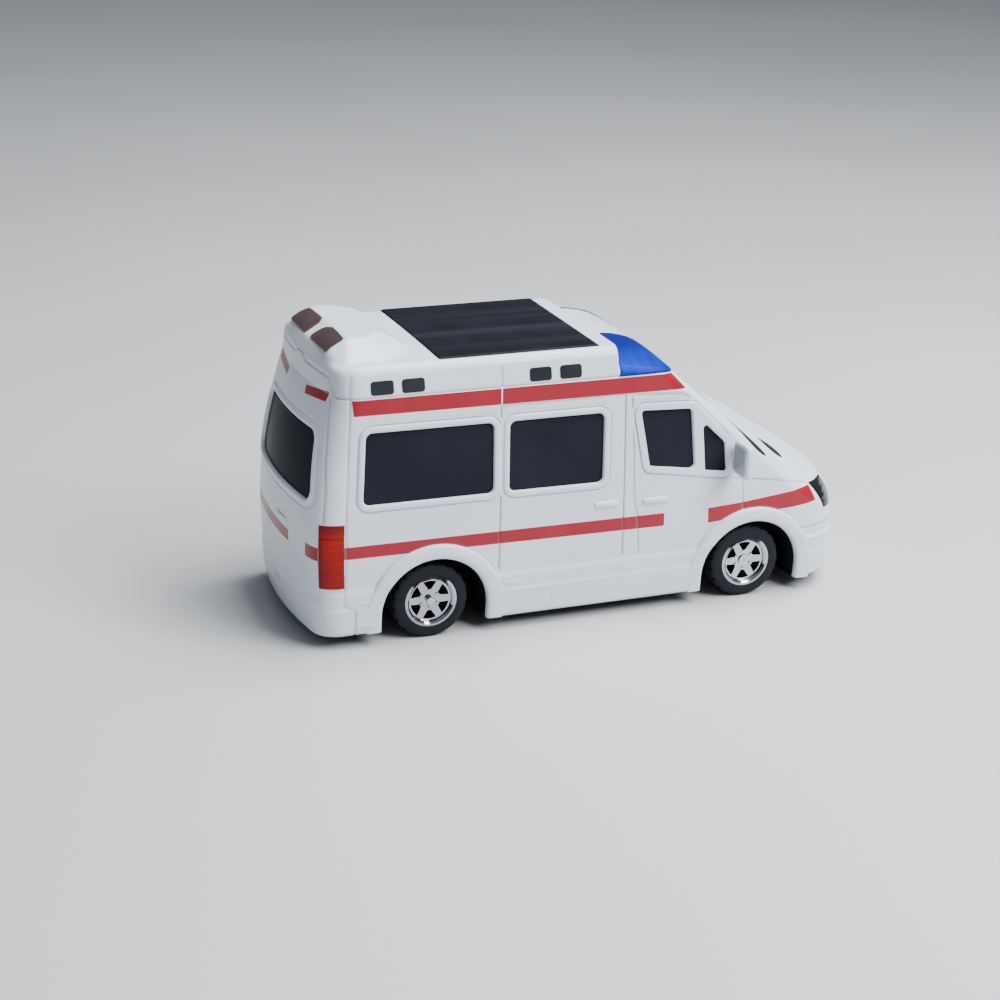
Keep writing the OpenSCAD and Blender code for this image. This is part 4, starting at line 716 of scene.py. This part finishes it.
# front: rays fanned from behind the windscreen edge, one level at a time
def makeFront():
    z = rowZ[:, None]
    spread = np.arctan2(sideHalf(z) + skirtReach(z), roots["nose"])
    turn = spread * np.linspace(-1, 1, frontPanel["columns"])
    origin = stack(frontEdge(z) - roots["nose"], 0.0, z + 0 * turn)
    bare = castRays(bodyField, origin, stack(np.cos(turn), np.sin(turn), 0), frontPanel["reach"])
    x, y, z = np.moveaxis(bare, -1, 0)
    relief, groove = sideRelief(x, z)
    wide = np.abs(y)
    sidePart = ease(wide, *frontPanel["sideY"])
    slope = van["screenSlope"]
    rise = (van["cowlX"] - x) * np.cos(slope) + (z - van["cowlZ"]) * np.sin(slope)  # up the windscreen
    inPane = polygonDistance(y, rise, *screenPane) < frontPanel["pocketRim"]
    pocket = np.where(inPane, moulding["pocket"], 0.0)
    points = lift(bodyField, bare, rowH[:, None] + relief * sidePart + pocket - moulding["seam"] * seamDip(z))
    band = bandDistance(x, z) + (wide < frontPanel["bareY"]) * frontPanel["bareOff"]
    # groove attribute: painted shade in the grooves and the roof seam
    values = {"band": band, "groove": np.maximum(groove * sidePart, seamDip(z)) * moulding["shade"]}
    makePiece("bodyFront", points, bodyFaces(x, z, wide < frontPanel["archY"]), "bodyWhite", values=values)


rightSide = makeSide(-1, "Right")
makeSide(1, "Left")
makeRear()
makeFront()
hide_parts("body_shell")
print("body panels ready")

roofGrid = {
    "spine": (-12.0, 77.8), "rootZ": 101.95, "spineColumns": 150, "rearColumns": 150, "noseColumns": 140,
    "out": 42.0, "rise": 13.5, "riseRows": 20, "topRows": 58, "far": 9.0,
    # shadeHalf: spread of the painted shade along the roof grooves
    "groove": 0.42, "grooveHalf": 0.36, "shadeHalf": 0.38, "tailX": -34.0, "bandX": -36.0,
    "seamX": -37.0, "seamY": 36.6, "sideY": 37.0,
    "sideLines": [(-33.3, 101.0, -32.4, 110.4), (28.1, 101.0, 28.4, 109.5)],
    "browX": 90.5, "browBow": 2.2, "browHalf": 19.5, "browFrom": 80.0,
}


# roof cap: rays from a spine under the roof, round the edge and over the top
def makeRoof():
    rearX, frontX = roofGrid["spine"]
    along = np.linspace(frontX, rearX, roofGrid["spineColumns"])
    fan = np.linspace(270, 90, roofGrid["rearColumns"])[1:-1]
    nose = np.linspace(90, -90, roofGrid["noseColumns"])[1:-1]
    originX = np.concatenate([along, 0 * fan + rearX, along[::-1], 0 * nose + frontX])
    angle = np.radians(np.concatenate([0 * along + 270, fan, 0 * along + 90, nose]))
    rise = np.linspace(0, roofGrid["rise"], roofGrid["riseRows"])
    inward = np.linspace(1, 0, roofGrid["topRows"])[1:]
    out = roofGrid["out"] * np.concatenate([0 * rise + 1, inward])[:, None]
    up = np.concatenate([rise, 0 * inward + roofGrid["rise"]])[:, None]
    target = stack(np.cos(angle) * out, np.sin(angle) * out, up)
    target[-1] = (0, 0, 1)
    bare = castRays(roofField, stack(originX + 0 * out, 0.0, roofGrid["rootZ"]), unit(target))
    x, y, z = np.moveaxis(bare, -1, 0)
    wide = np.abs(y)
    far = roofGrid["far"]
    seam = np.where((x < roofGrid["seamX"]) & (wide < roofGrid["seamY"]), far, np.abs(z - van["seam"]))
    tail = np.where(x < roofGrid["tailX"], nearest(wide, z, rearMarks["seam"]), far)
    side = np.where(wide > roofGrid["sideY"], nearest(x, z, roofGrid["sideLines"]), far)
    brow = np.abs(x - roofGrid["browX"] + (y / roofGrid["browHalf"]) ** 2 * roofGrid["browBow"])
    brow = np.where((x > roofGrid["browFrom"]) & (wide < roofGrid["browHalf"]), brow, far)
    line = np.min([seam, tail, side, brow], 0)
    points = lift(roofField, bare, -roofGrid["groove"] * bell(line, roofGrid["grooveHalf"]))
    # groove attribute: painted shade along the seams and the brow groove
    values = {"band": np.where(x < roofGrid["bandX"], rearBandDistance(y, z), far),
              "groove": bell(line, roofGrid["shadeHalf"]) * moulding["shade"]}
    faces = gridFaces(*x.shape, wrap=True)
    makePiece("roofCap", points, faces, "bodyWhite", ["roof_cap"], values, roof["middle"])


makeRoof()
print("roof ready")

# distance out from the pane's outline, then height
frameProfile = [(-0.7, -1.1), (0.0, -1.05), (0.02, -0.3), (0.12, 0.18), (0.35, 0.42), (0.75, 0.52),
                (1.4, 0.55),
                (2.0, 0.52), (2.4, 0.4), (2.62, 0.16), (2.7, -0.2), (2.76, -0.5), (3.02, -0.5), (3.08, -0.2),
                (3.16, 0.01), (3.4, 0.03), (4.5, -0.03)]
glassSink = {"side": -0.75, "rear": -0.75, "screen": -1.25}


def makeSideWindows(side, name):
    rays = sideRays(side)
    frames = [ringOn(rays, *windows[key], frameProfile) for key in ("load", "slide")]
    makePiece("windowFrames" + name, *joinGrids(frames), "plainWhite")
    panes = [paneOn(rays, *pane, glassSink["side"]) for pane in windows.values()]
    makePiece("sideGlass" + name, *joinGrids(panes), "darkGlass", ["side_glazing_" + name.lower()])


cabFrame = {
    "panes": ("door", "quarter"), "x": (84.0, 131.0, 95), "z": (55.0, 90.0, 71), "proud": 0.5, "sunk": -1.6,
    "sunkRim": 0.35, "outer": 0.9, "inner": -1.5, "edge": [(-0.2, 0.5)], "edgeFrom": 0.5,
    "rim": [(1.2, 0.53), (2.6, 0.47)], "rimTo": 0.8,
}


# shared frame of both cab panes: a raised plate between the panes, a rim in each and a ring round it
def makeCabFrame(side, name):
    rays = sideRays(side)
    panes = [windows[key] for key in cabFrame["panes"]]
    edge = cabFrame["edge"] + [p for p in frameProfile if p[0] > cabFrame["edgeFrom"]]
    rim = [p for p in frameProfile if p[0] < cabFrame["rimTo"]] + cabFrame["rim"]
    x, z = np.meshgrid(np.linspace(*cabFrame["x"]), np.linspace(*cabFrame["z"]), indexing="ij")
    gap = np.min([polygonDistance(x, z, *pane) for pane in panes], 0)
    height = np.where(gap < cabFrame["sunkRim"], cabFrame["sunk"], cabFrame["proud"])
    faces = gridFaces(*x.shape)
    inOutline = polygonDistance(x, z, *cabOutline).ravel()[faces].max(1) < cabFrame["outer"]
    faces = faces[inOutline & (gap.ravel()[faces].min(1) > cabFrame["inner"])]
    parts = [ringOn(rays, *cabOutline, edge), (drape(bodyField, *rays(x, z), height), faces)]
    parts += [ringOn(rays, *pane, rim) for pane in panes]
    makePiece("cabFrame" + name, *joinGrids(parts), "plainWhite")


bothSides(makeSideWindows)
bothSides(makeCabFrame)
print("side windows ready")

rearFrame = [(-0.7, -1.1), (0.0, -1.05), (0.03, -0.2), (0.25, 0.38), (0.8, 0.66), (1.5, 0.7), (2.2, 0.5),
             (2.7, 0.15), (3.0, -0.1), (3.3, 0.02), (4.4, -0.03)]
screenFrame = [(-0.8, -1.6), (0.0, -1.5), (0.05, -0.5), (0.25, 0.05), (0.7, 0.16), (1.4, 0.15), (2.1, 0.1),
               (2.6, -0.08)]
makePiece("rearWindowFrame", *ringOn(rearRays, *rearPane, rearFrame), "plainWhite")
makePiece("rearGlass", *paneOn(rearRays, *rearPane, glassSink["rear"]), "darkGlass", ["rear_window"])
makePiece("windscreenFrame", *ringOn(screenRays, *screenPane, screenFrame), "plainWhite")
screenGrid = paneOn(screenRays, *screenPane, glassSink["screen"])
makePiece("windscreenGlass", *screenGrid, "darkGlass", ["windscreen"])

# distance out from the arch, height above the skirt and height beside the opening
flare = {
    "profile": [(0.0, -1.6, -1.6), (0.0, -0.8, -0.8), (0.05, 0.5, 0.0), (0.35, 1.15, 0.6), (0.9, 1.55, 0.95),
                (1.8, 1.8, 1.1), (3.0, 1.82, 1.12), (4.2, 1.7, 1.12), (5.2, 1.5, 1.12), (5.8, 1.25, 1.12),
                (6.05, 0.8, 1.1), (6.15, 0.05, 1.0), (6.4, -0.4, 0.7)],
    "blendZ": (21.5, 27.0), "middleZ": 20.0,
}


# arch lip: the profile carried up one side, round the arch and down again, its height eased from low to high
def makeFlare(side, archX, name):
    out, high, low = np.array(flare["profile"]).T
    down = np.linspace(van["sill"], arches["z"], 8)[:-1]
    angle = np.linspace(np.pi, 0, 90)
    nx = np.concatenate([0 * down - 1, np.cos(angle), 0 * down + 1])[:, None]
    nz = np.concatenate([0 * down, np.sin(angle), 0 * down])[:, None]
    foot = np.concatenate([down, 0 * angle + arches["z"], down[::-1]])[:, None]
    x = archX + nx * (arches["r"] + out)
    z = foot + nz * (arches["r"] + out)
    blend = ease(z, *flare["blendZ"])
    points = stack(x, side * (sideHalf(z) + high * blend + low * (1 - blend)), z)
    makePiece(name, points, gridFaces(*x.shape), "plainWhite", centre=(archX, 0.0, flare["middleZ"]))


def makeFlares(side, name):
    for archX, end in zip(arches["centres"], ("rear", "front")):
        makeFlare(side, archX, end + "Flare" + name)


bothSides(makeFlares)
print("flares ready")


def rimFade(u, width):  # 1 inside, easing to 0 at both ends of 0 to 1
    return ease(u, 0, width) * (1 - ease(u, 1 - width, 1))


frontBeacon = {
    "rearX": 77.95, "lowX": 104.6, "tipX": 105.4, "rootZ": 99.4, "lowRise": (2.2, 42.0), "innerRise": 16.0,
    "innerX": [77.9, 84.0, 91.0, 98.0, 104.0, 108.0], "innerY": [21.0, 21.8, 25.5, 31.0, 36.0, 40.4],
    "rim": (0.03, 0.04), "proud": 0.35,
}


# front beacon lens: the roof corner ahead of a line across it, from the seam up and in to a curved inner edge
def makeFrontBeacon(side, name):
    u = np.linspace(0, 1, 90)[:, None]
    v = np.linspace(0, 1, 80)
    rearX = frontBeacon["rearX"]
    lowX = rearX + (frontBeacon["lowX"] - rearX) * u
    innerX = rearX + (frontBeacon["tipX"] - rearX) * u
    innerY = np.interp(innerX, frontBeacon["innerX"], frontBeacon["innerY"])
    x = lowX + (innerX - lowX) * v
    lowTurn = np.arctan2(*frontBeacon["lowRise"])
    turn = lowTurn + (np.arctan2(frontBeacon["innerRise"], innerY) - lowTurn) * v
    direction = stack(0 * turn, side * np.cos(turn), np.sin(turn))
    edge = np.minimum(rimFade(u, frontBeacon["rim"][0]), rimFade(v, frontBeacon["rim"][1]))
    height = frontBeacon["proud"] * (2 * edge - 1)
    points = drape(roofField, stack(x, 0.0, frontBeacon["rootZ"]), direction, height)
    node = "front_beacon_lens_" + name.lower()
    makePiece("frontBeacon" + name, points, gridFaces(*x.shape), "blueLens", [node], centre=roof["middle"])


bothSides(makeFrontBeacon)
tailLamp = {
    "z": (25.6, 53.3, 90), "sideEnd": (44.0, -41.0), "rearEnd": (40.2, -50.9), "columns": 60,
    "rim": (0.07, 0.04), "sink": 0.6, "proud": 1.15, "line": 0.22, "lineZ": 47.6, "lineHalf": 0.35,
    "topDeep": 0.75, "topZ": (47.4, 52.6), "rearPaintedShade": 0.55, "rearSpan": (0.74, 0.86),
}


# tail lamp: block round the rear corner, stood proud with rounded edges, its top band darker and painted
# shade on its rear-facing edge
def makeTailLamp(side, name):
    z = np.linspace(*tailLamp["z"])[:, None]
    ends = [np.arctan2(*tailLamp[key]) for key in ("sideEnd", "rearEnd")]
    turn = np.linspace(*ends, tailLamp["columns"])
    u = np.linspace(0, 1, len(turn))
    v = np.linspace(0, 1, len(z))[:, None]
    edge = rimFade(u, tailLamp["rim"][0]) * rimFade(v, tailLamp["rim"][1])
    line = tailLamp["line"] * bell(z - tailLamp["lineZ"], tailLamp["lineHalf"])
    height = (tailLamp["proud"] - line) * edge - tailLamp["sink"]
    topDeep = tailLamp["topDeep"] * ease(z, *tailLamp["topZ"])
    # painted shade on the rear-facing part, beside the darker top band
    deep = np.maximum(topDeep, tailLamp["rearPaintedShade"] * ease(u, *tailLamp["rearSpan"]))
    direction = stack(np.cos(turn), side * np.sin(turn), 0)
    points = drape(bodyField, stack(roots["rearX"], 0.0, z + 0 * u), direction, height)
    node = "tail_lamp_" + name.lower()
    makePiece("tailLamp" + name, points, gridFaces(*edge.shape), "redLens", [node], {"deep": deep})


bothSides(makeTailLamp)
headlamp = {
    "top": [(168.4, 38.8, 47.0), (182.8, 23.2, 44.2)], "low": [(176.6, 40.0, 34.4), (187.0, 29.4, 33.2)],
    "rim": (0.07, 0.09), "sink": 0.4, "proud": 0.8,
}


# headlamp: four-cornered patch of the nose found along level rays, stood proud with rounded edges
def makeHeadlamp(side, name):
    u = np.linspace(0, 1, 60)[:, None]
    v = np.linspace(0, 1, 44)
    top, low = [np.outer(1 - v, a) + np.outer(v, b) for a, b in (headlamp["top"], headlamp["low"])]
    flat = top * (1 - u[..., None]) + low * u[..., None]
    z = flat[..., 2]
    root = stack(frontEdge(z) - roots["nose"], 0, z)
    edge = rimFade(u, headlamp["rim"][0]) * rimFade(v, headlamp["rim"][1])
    height = headlamp["proud"] * edge - headlamp["sink"]
    points = drape(bodyField, root, unit(flat * [1, side, 1] - root), height)
    makePiece("headlamp" + name, points, gridFaces(*z.shape), "smokeLens", ["headlamp_" + name.lower()])


bothSides(makeHeadlamp)
print("lamps ready")

slits = {  # start, end and half width of each
    "lines": [((128.5, 38.6), (146.4, 41.9), 1.6), ((150.0, 26.2), (160.2, 31.4), 2.4)],
    "skew": 1.4, "blunt": 0.6, "proud": 0.16, "fall": 0.12,
}


# bonnet slit: black leaf shape laid on the bonnet as painted shade for the slit's inside, along a line, its
# half width the sine of a skewed run to a blunt power
def slitOn(side, start, end, half):
    u = np.linspace(0, 1, 40)[:, None]
    v = np.linspace(-1, 1, 9)
    run = np.subtract(end, start)
    across = np.array([run[1], -run[0]]) / np.linalg.norm(run)
    spread = half * np.sin(np.pi * u ** slits["skew"]) ** slits["blunt"] * v
    x = start[0] + run[0] * u + across[0] * spread
    y = side * (start[1] + run[1] * u + across[1] * spread)
    height = slits["proud"] - slits["fall"] * v ** 4 + 0 * x
    return drape(bodyField, *upRays(x, y), height), gridFaces(*x.shape)


def makeSlits(side, name):
    parts = [slitOn(side, *line) for line in slits["lines"]]
    # satin black leaves: painted shade where the slits are
    makePiece("bonnetSlitShade" + name, *joinGrids(parts), "satinBlack")


bothSides(makeSlits)
handles = {  # middle and length of each side handle and of the tailgate's
    "side": [(74.0, 49.2, 11.6), (95.8, 48.7, 12.6)], "taper": 0.12, "proud": 1.35, "grid": (40, 16),
    "tail": (-8.5, 45.4, 13.0), "tailProud": 0.75, "tailGrid": (50, 14), "half": 1.5, "sink": 0.25,
}


# handle: rounded bar, its height falling off with the fourth power along it and the third across
def handleOn(rays, middleA, middleB, length, taper, proud, grid):
    u = np.linspace(-1, 1, grid[0])[:, None]
    v = np.linspace(-1, 1, grid[1])
    a = middleA + u * length / 2 + 0 * v
    b = middleB + v * handles["half"] * (1 - taper * u ** 2)
    bump = (1 - np.abs(u) ** 4) ** 0.5 * (1 - np.abs(v) ** 3.0) ** 0.5
    return drape(bodyField, *rays(a, b), proud * bump - handles["sink"]), gridFaces(*grid)


def makeHandles(side, name):
    shape = (handles["taper"], handles["proud"], handles["grid"])
    parts = [handleOn(sideRays(side), *place, *shape) for place in handles["side"]]
    makePiece("doorHandles" + name, *joinGrids(parts), "plainWhite")


bothSides(makeHandles)
tailBar = handleOn(rearRays, *handles["tail"], 0.0, handles["tailProud"], handles["tailGrid"])
makePiece("tailHandle", *tailBar, "plainWhite")
grille = {"half": 15.5, "z": (26.2, 38.2), "pitch": 2.4, "rim": (1.2, 1.0), "sink": 0.35, "slat": 0.45}


# grille: dark field on the nose with slats standing forward as a cosine up the nose
def makeGrille():
    half = grille["half"]
    low, high = grille["z"]
    y, z = np.meshgrid(np.linspace(-half, half, 90), np.linspace(low, high, 70), indexing="ij")
    slat = 0.5 + 0.5 * np.cos((z - low) / grille["pitch"] * 2 * np.pi)
    sideRim, endRim = grille["rim"]
    edge = ease(half - np.abs(y), 0, sideRim) * ease(np.minimum(z - low, high - z), 0, endRim)
    height = edge * (grille["sink"] + grille["slat"] * slat) - grille["sink"]
    points = drape(bodyField, *noseRays(y, z), height)
    makePiece("noseGrille", points, gridFaces(*y.shape), "satinBlack", ["grille"])


makeGrille()
roofPanel = {
    "x": 37.4, "halfX": 34.0, "halfY": 36.6, "top": 114.45,
    "rib": 0.02, "pitch": 7.3, "edge": 0.97, "drop": 0.9,
    "streak": (0.028, 0.031, 0.04), "stretch": (1.5, 75.0, 1.0), "streakSpan": (0.5, 0.72, 0.0, 0.8),
}


# panel black: lengthwise streaks of stretched noise over the plain finish
def makePanelBlack():
    tree, shader, colour = makeFinish("panelBlack", (0.0125, 0.0135, 0.019), (0.0085, 0.0095, 0.0135),
                                      (0.2, 0.3), mottle=60.0, bump=0.02, scuff=0.15, shine=0.14, ior=1.2)
    stretched = mapVector(tree, objectCoords(tree), Scale=roofPanel["stretch"])
    noise = noiseNode(tree, stretched, Scale=1.0, Detail=1.0)
    streaks = spanNode(tree, noise.outputs["Fac"], *roofPanel["streakSpan"])
    tree.links.new(mixColours(tree, streaks, colour, roofPanel["streak"]), shader.inputs["Base Color"])


# roof panel: plate with eased edges and shallow lengthwise ribs as a cosine across
def makeRoofPanel():
    u = np.linspace(-1, 1, 90)[:, None]
    v = np.linspace(-1, 1, 140)
    y = roofPanel["halfY"] * v
    rib = roofPanel["rib"] * np.cos(y * 2 * np.pi / roofPanel["pitch"])
    fall = ease(np.abs(u), roofPanel["edge"], 1.0) + ease(np.abs(v), roofPanel["edge"], 1.0)
    z = roofPanel["top"] + rib - roofPanel["drop"] * np.minimum(fall, 1)
    points = stack(roofPanel["x"] + roofPanel["halfX"] * u, y, z)
    faces = gridFaces(*z.shape)
    makePiece("roofPanelPlate", points, faces, "panelBlack", ["roof_panel"], centre=roof["middle"])


makePanelBlack()
makeRoofPanel()
mirror = {  # loft as distance out, half depth and half height
    "x": 130.7, "z": 65.0, "power": 5.0, "columns": 72,
    "loft": [(42.5, 1.3, 2.6), (45.0, 1.35, 2.8), (45.5, 1.6, 4.9), (46.0, 1.8, 6.4), (46.8, 1.9, 7.0),
             (49.0, 1.95, 7.25), (54.0, 1.95, 7.25), (56.2, 1.9, 7.1), (57.2, 1.75, 6.75), (57.8, 1.45, 6.1),
             (58.05, 0.85, 4.8), (58.15, 0.02, 0.02)],
    "glassY": 51.7, "glassHalf": (5.2, 6.2), "glassX": -2.07, "glassRim": 0.6,
    "glassPower": 8, "glassGrid": 24,
}


# mirror: rounded-square sections carried outwards on a short foot, its glass a grid drawn in at the corners
def makeMirror(side, name):
    out, deep, tall = np.array(mirror["loft"]).T[:, :, None]
    turn = np.linspace(0, 2 * np.pi, mirror["columns"], endpoint=False)
    c, s = np.cos(turn), np.sin(turn)
    size = (np.abs(c) ** mirror["power"] + np.abs(s) ** mirror["power"]) ** (-1 / mirror["power"])
    points = stack(mirror["x"] + deep * c * size, side * out, mirror["z"] + tall * s * size)
    middle = (mirror["x"], side * mirror["glassY"], mirror["z"])
    faces = gridFaces(len(out), len(turn), wrap=True)
    makePiece("mirror" + name, points, faces, "plainWhite", ["mirror_" + name.lower()], centre=middle)
    line = np.linspace(-1, 1, mirror["glassGrid"])
    u, v = np.meshgrid(line, line, indexing="ij")
    reach = np.maximum(np.abs(u), np.abs(v))
    power = mirror["glassPower"]
    pull = reach / (np.abs(u) ** power + np.abs(v) ** power) ** (1 / power)
    x = mirror["x"] + mirror["glassX"] + mirror["glassRim"] * (reach > 0.999)
    wide, high = mirror["glassHalf"]
    points = stack(x, side * (mirror["glassY"] + wide * u * pull), mirror["z"] + high * v * pull)
    node = "mirror_glass_" + name.lower()
    makePiece("mirrorGlass" + name, points, gridFaces(*u.shape), "mirrorSilver", [node], centre=middle)


bothSides(makeMirror)
wells = {
    "past": 0.3, "clear": 0.15, "taper": 0.9, "lowZ": 6.2, "inset": 1.4, "depth": 13.0,
    "panelX": (118, 166, 49), "panelY": 20.0, "panelZ": (8.0, 36.0), "steerX": (124.5, 145.5), "steerZ": 23.6,
}


# wheel wells: a dark half barrel behind each arch, from inside the lip towards the middle of the van, and a
# panel that closes the view across the front axle, clear of the steering
def makeWells(side, name):
    turn = np.linspace(-wells["past"], np.pi + wells["past"], 60)[:, None]
    reach = np.linspace(0, 1, 12)
    r = arches["r"] - wells["clear"] - wells["taper"] * reach
    z = np.maximum(arches["z"] + r * np.sin(turn), wells["lowZ"])
    y = side * (sideHalf(z) - wells["inset"] - wells["depth"] * reach)
    parts = [(stack(centre + r * np.cos(turn), y, z), gridFaces(*z.shape)) for centre in arches["centres"]]
    x, rise = np.meshgrid(np.linspace(*wells["panelX"]), np.linspace(0, 1, 10), indexing="ij")
    low, top = wells["panelZ"]
    low = np.where((x > wells["steerX"][0]) & (x < wells["steerX"][1]), wells["steerZ"], low)
    parts.append((stack(x, side * wells["panelY"], low + (top - low) * rise), gridFaces(*x.shape)[:, ::-1]))
    points, faces = joinGrids(parts)
    makePiece("wheelWells" + name, points, faces if side < 0 else faces[:, ::-1], "wellBlack", centre=None)


bothSides(makeWells)
print("small pieces ready")

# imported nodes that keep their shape, by finish; a name that ends in _ stands for both sides
keptNodes = {
    "wellBlack": ["chassis"],
    "satinBlack": ["battery_door", "steering_servo", "gearbox_case", "front_bracket", "steering_knuckle_",
                   "steering_link", "roof_vents_"],
    "brownLens": ["rear_beacon_lens_"],
    "platedSteel": ["battery_door_screw", "hub_screw_", "body_screws", "rear_axle", "motor_shaft",
                    "idler_pin", "battery_contacts", "switch_body", "drive_motor"],
    "gearNylon": ["motor_pinion", "idler_gear", "axle_gear", "steering_lever"],
    "cellJacket": ["battery_cells"], "switchRed": ["switch_slider"], "boardGreen": ["circuit_board"],
    "ledClear": ["beacon_leds"],
    "chromePlate": ["rear_rim_", "front_rim_"], "tyreRubber": ["rear_tyre_", "front_tyre_"],
}
for look, names in keptNodes.items():
    nodes = [name + end for name in names for end in (("right", "left") if name[-1] == "_" else ("",))]
    for node in nodes:
        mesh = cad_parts[node].data
        if not mesh.materials:
            mesh.materials.append(finishes[look])
        for i in range(len(mesh.materials)):
            mesh.materials[i] = finishes[look]
print("kept nodes finished")

# floor, lights and camera
stageSet = {
    "floor": (0.58, 0.59, 0.60), "floorLow": (0.565, 0.575, 0.585), "floorHalf": 4,
    "low": (0.10, 0.11, 0.125), "high": (0.86, 0.91, 1.0), "highAt": 0.75, "worldLevel": 0.31,
    "lights": [("key", (0.55, -0.70, 0.85), 0.6, 18.0), ("top", (0.40, -0.05, 1.2), 0.8, 31.0)],
    "tint": (0.95, 0.975, 1.0), "aim": (0, 0, 0.06),
}
half = stageSet["floorHalf"]
floorMesh = bpy.data.meshes.new("floor")
floorCorners = [(-half, -half, 0), (half, -half, 0), (half, half, 0), (-half, half, 0)]
floorMesh.from_pydata(floorCorners, [], [(0, 1, 2, 3)])
floor = bpy.data.objects.new("floor", floorMesh)
bpy.context.scene.collection.objects.link(floor)
makeFinish("floorPale", stageSet["floor"], stageSet["floorLow"], (0.5, 0.6), mottle=3.0, bump=0.0, scuff=0.0)
floorMesh.materials.append(finishes["floorPale"])

world = bpy.data.worlds.new("studio")
world.use_nodes = True
sky = world.node_tree
parts = addNode(sky, "ShaderNodeSeparateXYZ")
sky.links.new(addNode(sky, "ShaderNodeTexCoord").outputs["Generated"], parts.inputs[0])
height = spanNode(sky, parts.outputs["Z"], 0.0, stageSet["highAt"])
background = setInputs(sky.nodes["Background"], Strength=stageSet["worldLevel"])
sky.links.new(mixColours(sky, height, stageSet["low"], stageSet["high"]), background.inputs["Color"])
bpy.context.scene.world = world


def placeAt(thing, right, up, back, place):
    thing.matrix_world = Matrix([[right[i], up[i], back[i], place[i]] for i in range(3)] + [[0, 0, 0, 1]])
    bpy.context.scene.collection.objects.link(thing)


for name, place, size, power in stageSet["lights"]:
    light = bpy.data.lights.new(name, "AREA")
    light.size = size
    light.energy = power
    light.color = stageSet["tint"]
    back = unit(np.subtract(place, stageSet["aim"]))
    right = unit(np.cross([0, 0, 1.0], back))
    placeAt(bpy.data.objects.new(name, light), right, np.cross(back, right), back, place)

shot = {
    "azimuth": -21.78, "elevation": 20.55, "roll": 1.66, "place": (-0.3308, -0.7633, 0.34655), "lens": 75.5,
    "sensor": 36.0, "clip": 0.01,
}
az, el, roll = np.radians([shot["azimuth"], shot["elevation"], shot["roll"]])
back = np.array([np.sin(az) * np.cos(el), -np.cos(az) * np.cos(el), np.sin(el)])
right = np.array([np.cos(az), np.sin(az), 0])
up = np.cross(back, right)
right, up = np.cos(roll) * right + np.sin(roll) * up, -np.sin(roll) * right + np.cos(roll) * up
camera = bpy.data.objects.new("camera", bpy.data.cameras.new("camera"))
camera.data.lens = shot["lens"]
camera.data.sensor_width = shot["sensor"]
camera.data.clip_start = shot["clip"]
placeAt(camera, right, up, back, shot["place"])
bpy.context.scene.camera = camera

print("scene ready")
